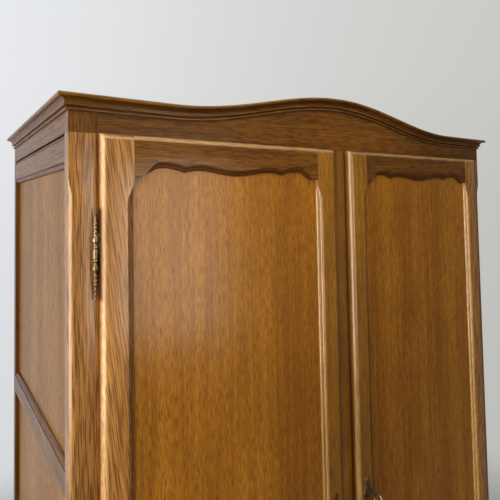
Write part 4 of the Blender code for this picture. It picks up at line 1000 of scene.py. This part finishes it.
def finial():
    """Radius and height above the barrel's middle, from the tip down to where the halves part."""
    ball, high = RINGS[0]
    points = [(ball * sin(turn), 1 - (1 - high) * (1 - cos(turn))) for turn in spread(0, pi / 2, 5)]
    for (near, high), (far, low) in zip(RINGS, RINGS[1:]):
        points += [(near + (far - near) * ease(s), high + (low - high) * s) for s in spread(0, 1, 6)[1:]]
    return [(HINGE_RADIUS * out, HINGE_HALF * up) for out, up in points] + [(0, HINGE_HALF * RINGS[-1][1])]


def turn_about(bm, profile, at, axis, sides=32):
    """Turn a profile of radius and height about a line through a point, along Y or Z."""
    rings = []
    for radius, height in profile:
        turns = [2 * pi * i / sides for i in range(sides)]
        flat = [(radius * cos(t), radius * sin(t)) for t in turns] if radius else [(0, 0)]
        spots = [(u, v, height) if axis == "Z" else (u, height, v) for u, v in flat]
        rings.append([bm.verts.new(Vector(at) + Vector(spot)) for spot in spots])
    for near, far in zip(rings, rings[1:]):
        for i in range(max(len(near), len(far))):
            start = [near[i % len(near)], near[(i + 1) % len(near)]]
            end = [far[(i + 1) % len(far)], far[i % len(far)]]
            bm.faces.new(list(dict.fromkeys(start + end)))


def add_block(bm, corner, opposite, edge=0.0004):
    """A block with softened edges, added to a mesh that is being made."""
    block = bmesh.ops.create_cube(bm, size=1.0)["verts"]
    low, high = Vector(corner), Vector(opposite)
    bmesh.ops.scale(bm, vec=[abs(b - a) for a, b in zip(low, high)], verts=block)
    bmesh.ops.translate(bm, vec=(low + high) / 2, verts=block)
    lines = list(dict.fromkeys(line for vertex in block for line in vertex.link_edges))
    bmesh.ops.bevel(bm, geom=lines, offset=edge, segments=2, affect="EDGES", profile=0.5)


print("hinge profile:", len(finial()), "points")

# %% Hinges
HINGE_X, HINGE_Y = 0.6055, -0.0080
LEAF, LEAF_HEIGHT, LEAF_DEPTH, LEAF_GAP = 0.0025, 0.036, 0.018, 0.0006
for name, side in SIDES.items():
    for place, middle in HINGE_HEIGHTS.items():
        x, y = side * HINGE_X, FRONT + HINGE_Y
        door_half, post_half = bmesh.new(), bmesh.new()
        turn_about(door_half, finial(), (x, y, middle), "Z")
        turn_about(post_half, [(radius, -up) for radius, up in finial()], (x, y, middle), "Z")
        far = side * (DOOR_OUTER - LEAF_DEPTH)
        low, high = (x, y - LEAF / 2, middle + LEAF_GAP), (far, y + LEAF / 2, middle + LEAF_HEIGHT)
        add_block(door_half, low, high)
        back = FRONT + LEAF_DEPTH
        low, high = (x - LEAF / 2, y, middle - LEAF_HEIGHT), (x + LEAF / 2, back, middle - LEAF_GAP)
        add_block(post_half, low, high)
        for part, bm in (("door", door_half), ("post", post_half)):
            finish_piece(f"{name}_door_{place}_hinge_{part}_half", bm, BRASS, sharp=50)
print("hinges:", len([piece for piece in made_pieces if "_hinge_" in piece and "_half_" in piece]) // 2)

# %% [markdown]
# ## Key plates and keys
# Each lock stile has a brass plate with a waisted outline and a keyhole, and a key with an oval bow. The
# plate is a flat curve with a small bevel, filled round its hole. The key is turned, with a bow swept as a
# rounded band round an oval.

# %% Key plates
PLATE_WIDTH, PLATE_HEIGHT, PLATE_BEVEL = 0.030, 0.080, 0.0004
PIN_HEIGHT = 0.031
PIN_DOME = [(0, -0.0009), (0.0009, -0.0007), (0.0015, -0.0002), (0.0016, 0.0003), (0, 0.0003)]
KEY_RADIUS, BIT_REACH, BIT = 0.0025, 0.0085, 0.0025
PLATE_FACE, PLATE_BACK = [corner.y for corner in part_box("left_door_escutcheon")]


def plate_outline():
    """A plate's edge: a broad middle, two waists and a smaller lobe at each end."""
    shares = spread(-0.5, 0.5, 60)
    waists = [max(cos(pi * t), 0) ** 0.5 * (0.75 + 0.25 * cos(4 * pi * t)) for t in shares]
    right = [(PLATE_WIDTH / 2 * waist, PLATE_HEIGHT * t) for waist, t in zip(waists, shares)]
    return right[:-1] + [(-x, z) for x, z in right[:0:-1]]


def keyhole():
    """A round hole with a slot for the bit below it, a little larger than the key."""
    radius, slot = KEY_RADIUS + SKIN, BIT / 2 + SKIN
    turn = [(radius * cos(a), radius * sin(a)) for a in spread(-pi / 3, 4 * pi / 3, 20)]
    return turn + [(-slot, -BIT_REACH - SKIN), (slot, -BIT_REACH - SKIN)]


def drawn_curve(name, lines, closed, **settings):
    """A curve of straight runs through the points of each line, with its settings, as an object."""
    curve = bpy.data.curves.new(name, "CURVE")
    for setting, value in settings.items():
        setattr(curve, setting, value)
    for points in lines:
        spline = curve.splines.new("POLY")
        spline.points.add(len(points) - 1)
        spline.use_cyclic_u = closed
        for knot, place in zip(spline.points, points):
            knot.co = (*place, 1)
    return show(name, curve)


def flat_plate(outlines, front, back, bevel):
    """A filled outline with holes, between two depths, with bevelled edges."""
    lines = [[(x, z, 0) for x, z in outline] for outline in outlines]
    shape = {"dimensions": "2D", "fill_mode": "BOTH", "extrude": (back - front) / 2 - bevel, "offset": -bevel}
    bm = baked(drawn_curve("plate", lines, True, bevel_depth=bevel, bevel_resolution=1, **shape))
    bmesh.ops.rotate(bm, cent=(0, 0, 0), matrix=Matrix.Rotation(pi / 2, 3, "X"), verts=bm.verts)
    bmesh.ops.translate(bm, vec=(0, (front + back) / 2, 0), verts=bm.verts)
    return bm


for name, side in SIDES.items():
    bm = flat_plate([plate_outline(), keyhole()], PLATE_FACE, PLATE_BACK, PLATE_BEVEL)
    bmesh.ops.translate(bm, vec=(side * KEY_X, 0, LOCK_HEIGHT), verts=bm.verts)
    for way in (-1, 1):
        turn_about(bm, PIN_DOME, (side * KEY_X, PLATE_FACE, LOCK_HEIGHT + way * PIN_HEIGHT), "Y", 16)
    finish_piece(f"{name}_door_escutcheon", bm, BRASS)
print("plate:", round(1000 * (PLATE_BACK - PLATE_FACE), 2), "mm thick")

# %% Keys
BOW_LENGTH, BOW_HEIGHT, BOW_BAND, BOW_THICKNESS, BOW_STEPS = 0.030, 0.028, 0.0050, 0.0036, 48
COLLAR_RADIUS, COLLAR_BACK, COLLAR_FACE, BOW_BACK = 0.0045, -0.0251, -0.0281, -0.0401
RING_RADIUS = 1.45 * KEY_RADIUS
BIT_LENGTH, BIT_BACK, KEY_END, KEY_EDGE = 0.006, 0.0098, 0.0125, 0.0004


def add_bow(bm, x):
    """An oval band round the key's end, rounded in section."""
    centre = BOW_BACK - BOW_LENGTH / 2 + FRONT
    middle_y, middle_z = (BOW_LENGTH - BOW_BAND) / 2, (BOW_HEIGHT - BOW_BAND) / 2
    section = arc((0, 0), (BOW_BAND / 2, BOW_THICKNESS / 2), 0, 4, 12)[:-1]
    rows = []
    for turn in (2 * pi * i / BOW_STEPS for i in range(BOW_STEPS)):
        way = Vector((0, cos(turn), sin(turn)))
        core = Vector((x, centre + middle_y * cos(turn), LOCK_HEIGHT + middle_z * sin(turn)))
        rows.append([bm.verts.new(core + way * out + Vector((up, 0, 0))) for out, up in section])
    for near, far in zip(rows, rows[1:] + rows[:1]):
        band_of_faces(bm, near, far)


def key_profile():
    """Radius and depth along the stem: a ring behind the bow, and a collar that stops at the plate."""
    r, start = KEY_RADIUS, BOW_BACK - BOW_BAND / 2
    ring = [(r, 0.001), (RING_RADIUS, 0.0016), (RING_RADIUS, 0.0026), (r, 0.0034)]
    stem = [(0, start), (r, start)] + [(radius, BOW_BACK + past) for radius, past in ring]
    collar = [(COLLAR_RADIUS, COLLAR_FACE + KEY_EDGE), (COLLAR_RADIUS, COLLAR_BACK - KEY_EDGE)]
    stem += [(r, COLLAR_FACE)] + collar + [(r, COLLAR_BACK)]
    return stem + [(r, KEY_END - KEY_EDGE), (r - KEY_EDGE, KEY_END), (0, KEY_END)]


for name, side in SIDES.items():
    x, back = side * KEY_X, FRONT + BIT_BACK
    bm = bmesh.new()
    add_bow(bm, x)
    turn_about(bm, key_profile(), (x, FRONT, LOCK_HEIGHT), "Y", 24)
    add_block(bm, (x - BIT / 2, back - BIT_LENGTH, LOCK_HEIGHT - BIT_REACH), (x + BIT / 2, back, LOCK_HEIGHT))
    finish_piece(f"{name}_door_key", bm, BRASS, sharp=45)

# %% [markdown]
# ## Inside
# A steel tube hangs under the hat shelf, its ends bent up to the shelf. A curve with a round bevel gives
# such a tube in a few lines, and it is turned into a mesh before it rides. Four pegs carry the shelf.

# %% Hanging rail
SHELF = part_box("hat_shelf")[0].z
RAIL_DROP, RAIL_BEND, TUBE = 0.060, 0.040, 0.0125
FLANGE, FLANGE_THICKNESS, FLANGE_EDGE, FLANGE_LAP = 0.0215, 0.0025, 0.0006, 0.001

low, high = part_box("hanging_rail")
rail_end, rail_y = high.x - TUBE, (low.y + high.y) / 2
bend = arc((rail_end - RAIL_BEND, SHELF - RAIL_DROP + RAIL_BEND), (RAIL_BEND, RAIL_BEND), 4, 3, 14)
right = [(rail_end, SHELF - SKIN)] + bend
route = [(x, rail_y, z) for x, z in right + [(-x, z) for x, z in reversed(right)]]
tube = {"dimensions": "3D", "bevel_depth": TUBE, "bevel_resolution": 6, "use_fill_caps": True}
bm = baked(drawn_curve("hanging_rail_line", [route], False, **tube))
inner, under = TUBE - FLANGE_LAP, -FLANGE_THICKNESS
flange = [(inner, under), (FLANGE - FLANGE_EDGE, under), (FLANGE, under + FLANGE_EDGE), (FLANGE, -SKIN)]
flange += [(inner, -SKIN), (inner, under)]
for side in SIDES.values():
    turn_about(bm, flange, (side * rail_end, rail_y, SHELF), "Z")
finish_piece("hanging_rail", bm, STEEL)
print("hanging rail at", round(SHELF - RAIL_DROP, 3), "m")

# %% Shelf pegs
PEG_RADIUS, PEG_LENGTH, PEG_ROOT, PEG_EDGE = 0.005, 0.026, 0.004, 0.0008
PEG_INWARD, REAR_POST_FRONT = 0.03165, 0.601
PEG_HEIGHT = SHELF - PEG_RADIUS - SKIN

peg = [(0, -PEG_ROOT), (PEG_RADIUS, -PEG_ROOT), (PEG_RADIUS, PEG_LENGTH - PEG_EDGE)]
peg += [(PEG_RADIUS - PEG_EDGE, PEG_LENGTH), (0, PEG_LENGTH)]
bm = bmesh.new()
for side in SIDES.values():
    for face, way in ((POST_THICKNESS, 1), (REAR_POST_FRONT, -1)):
        at = (side * (HALF_WIDTH - PEG_INWARD), FRONT + face, PEG_HEIGHT)
        turn_about(bm, [(radius, way * out) for radius, out in peg], at, "Y", 16)
finish_piece("shelf_pegs", bm, STEEL, body="carcass")
print("shelf pegs at", round(PEG_HEIGHT, 4), "m")

# %% [markdown]
# ## Screws
# Small slotted screws hold the back in its rebate, the panel under the crown, the lock cases on the doors
# and the rail's flanges under the shelf. Each row of screws is a line that carries two attributes, the
# gap between screws and the way they face. A Geometry Nodes tree walks along all lines, sets one head at
# every step and turns each by its own angle, because nobody lines up the slots of hidden screws.

# %% A slotted head
SCREW, SLOT, HEAD_HEIGHT = 0.0036, 0.0010, 0.0009
HEAD_FOOT, HEAD_TOP, SLOT_TURN = 0.94, 0.86, 0.16


def screw_head():
    """Two half discs with a slot between them, on a thin round plate that faces up."""
    bm = bmesh.new()
    turn_about(bm, [(0, -SKIN), (SCREW, -SKIN), (SCREW, SKIN), (0, SKIN)], (0, 0, 0), "Z", 14)
    radius = HEAD_FOOT * SCREW
    for way in (-1, 1):
        flat = [(way * radius * cos(t), way * radius * sin(t)) for t in spread(SLOT_TURN, pi - SLOT_TURN, 7)]
        raised = [(HEAD_TOP * x, max(abs(HEAD_TOP * y), SLOT / 2) * way) for x, y in flat]
        foot = [bm.verts.new((x, y, 0)) for x, y in flat]
        head = [bm.verts.new((x, y, HEAD_HEIGHT)) for x, y in raised]
        band_of_faces(bm, foot, head)
        bm.faces.new(head)
        bm.faces.new(foot)
    bmesh.ops.recalc_face_normals(bm, faces=bm.faces)
    return mesh_from("screw_head", bm)


HEAD = show("screw_head", screw_head())
print("one screw head:", len(HEAD.data.polygons), "faces")

# %% Tree that sets screws along lines
tree, given = geometry_tree("rows_of_screws", {"Head": "Object", "Seed": "Int", "Material": "Material"})
named = "GeometryNodeInputNamedAttribute"
gap = add(tree, named, {"Name": "gap"}, data_type="FLOAT")
facing = add(tree, named, {"Name": "facing"}, data_type="FLOAT_VECTOR")
line = add(tree, "GeometryNodeMeshToCurve", [given["Geometry"]])
row = add(tree, "GeometryNodeResampleCurve", {"Curve": line, "Length": gap}, mode="LENGTH")
chance = {2: 0.0, 3: 2 * pi, "Seed": given["Seed"]}
angle = add(tree, "FunctionNodeRandomValue", chance, 1, data_type="FLOAT")
spin = add(tree, "FunctionNodeAxisAngleToRotation", {"Axis": (0, 0, 1), "Angle": angle})
faced = add(tree, "FunctionNodeEulerToRotation", [facing])
turned = add(tree, "FunctionNodeRotateRotation", (faced, spin), rotation_space="LOCAL")
head = add(tree, "GeometryNodeObjectInfo", {"Object": given["Head"]}, "Geometry")
copies = {"Points": row, "Instance": head, "Rotation": turned}
placed = add(tree, "GeometryNodeInstanceOnPoints", copies)
real = add(tree, "GeometryNodeRealizeInstances", [placed])
dressed = add(tree, "GeometryNodeSetMaterial", {"Geometry": real, "Material": given["Material"]})
add(tree, "NodeGroupOutput", [dressed], None)
ROWS_OF_SCREWS = tree
print("screw tree:", len(tree.nodes), "nodes")

# %% Rows of screws
TO_BACK, TO_TOP, TO_FLOOR = (-pi / 2, 0, 0), (0, 0, 0), (pi, 0, 0)
BACK_INSET, BACK_GAP = 0.008, 0.152
CROWN_INSET, CROWN_END, CROWN_GAP = 0.012, 0.04, 0.170
LOCK_INSET, LOCK_GAP = 0.006, 0.045
# A row gets one screw more than the gaps that fit into it, so a flange's circle of holes gets four
FLANGE_HOLES = 0.0170
FLANGE_GAP = 2 * pi * FLANGE_HOLES / 3.1


def screws(name, body, rows):
    """One mesh of screws for a body: each row has points, may be closed, and has its gap and facing."""
    points, edges, gaps, faces = [], [], [], []
    for spots, closed, gap, facing in rows:
        start = len(points)
        points += spots
        edges += [(start + i, start + i + 1) for i in range(len(spots) - 1)]
        if closed:
            edges.append((start + len(spots) - 1, start))
        gaps += [gap] * len(spots)
        faces += facing * len(spots)
    lines = bpy.data.meshes.new(name)
    lines.from_pydata(points, edges, [])
    lines.attributes.new("gap", "FLOAT", "POINT")
    lines.attributes.new("facing", "FLOAT_VECTOR", "POINT")
    lines.attributes["gap"].data.foreach_set("value", gaps)
    lines.attributes["facing"].data.foreach_set("vector", faces)
    bm = grown(lines, ROWS_OF_SCREWS, {"Head": HEAD, "Seed": 4, "Material": STEEL})
    finish_piece(name, bm, STEEL, body=body)


low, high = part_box("back_panel")
left, right = low.x + BACK_INSET, high.x - BACK_INSET
foot, head = low.z + BACK_INSET, high.z - BACK_INSET
corners = [(x, high.y, z) for x, z in ((left, foot), (right, foot), (right, head), (left, head))]
rows = [(corners, True, BACK_GAP, TO_BACK)]
low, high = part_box("crown_top_panel")
for x in (low.x + CROWN_INSET, high.x - CROWN_INSET):
    ends = [(x, y, high.z) for y in (low.y + CROWN_END, high.y - CROWN_END)]
    rows.append((ends, False, CROWN_GAP, TO_TOP))
for side in SIDES.values():
    ring = arc((side * rail_end, rail_y), (FLANGE_HOLES, FLANGE_HOLES), 0.3, 4.3, 24)[:-1]
    rows.append(([(x, y, SHELF - FLANGE_THICKNESS) for x, y in ring], True, FLANGE_GAP, TO_FLOOR))
screws("carcass_screws", "carcass", rows)
for name in SIDES:
    low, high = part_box(f"{name}_door_lock_case")
    ends = (low.z + LOCK_INSET, high.z - LOCK_INSET)
    pairs = [[(x, high.y, z) for z in ends] for x in (low.x + LOCK_INSET, high.x - LOCK_INSET)]
    screws(f"{name}_lock_screws", f"{name}_door", [(pair, False, LOCK_GAP, TO_BACK) for pair in pairs])
bpy.data.objects.remove(HEAD)

# %% Count of pieces
print("pieces:", len(made_pieces))
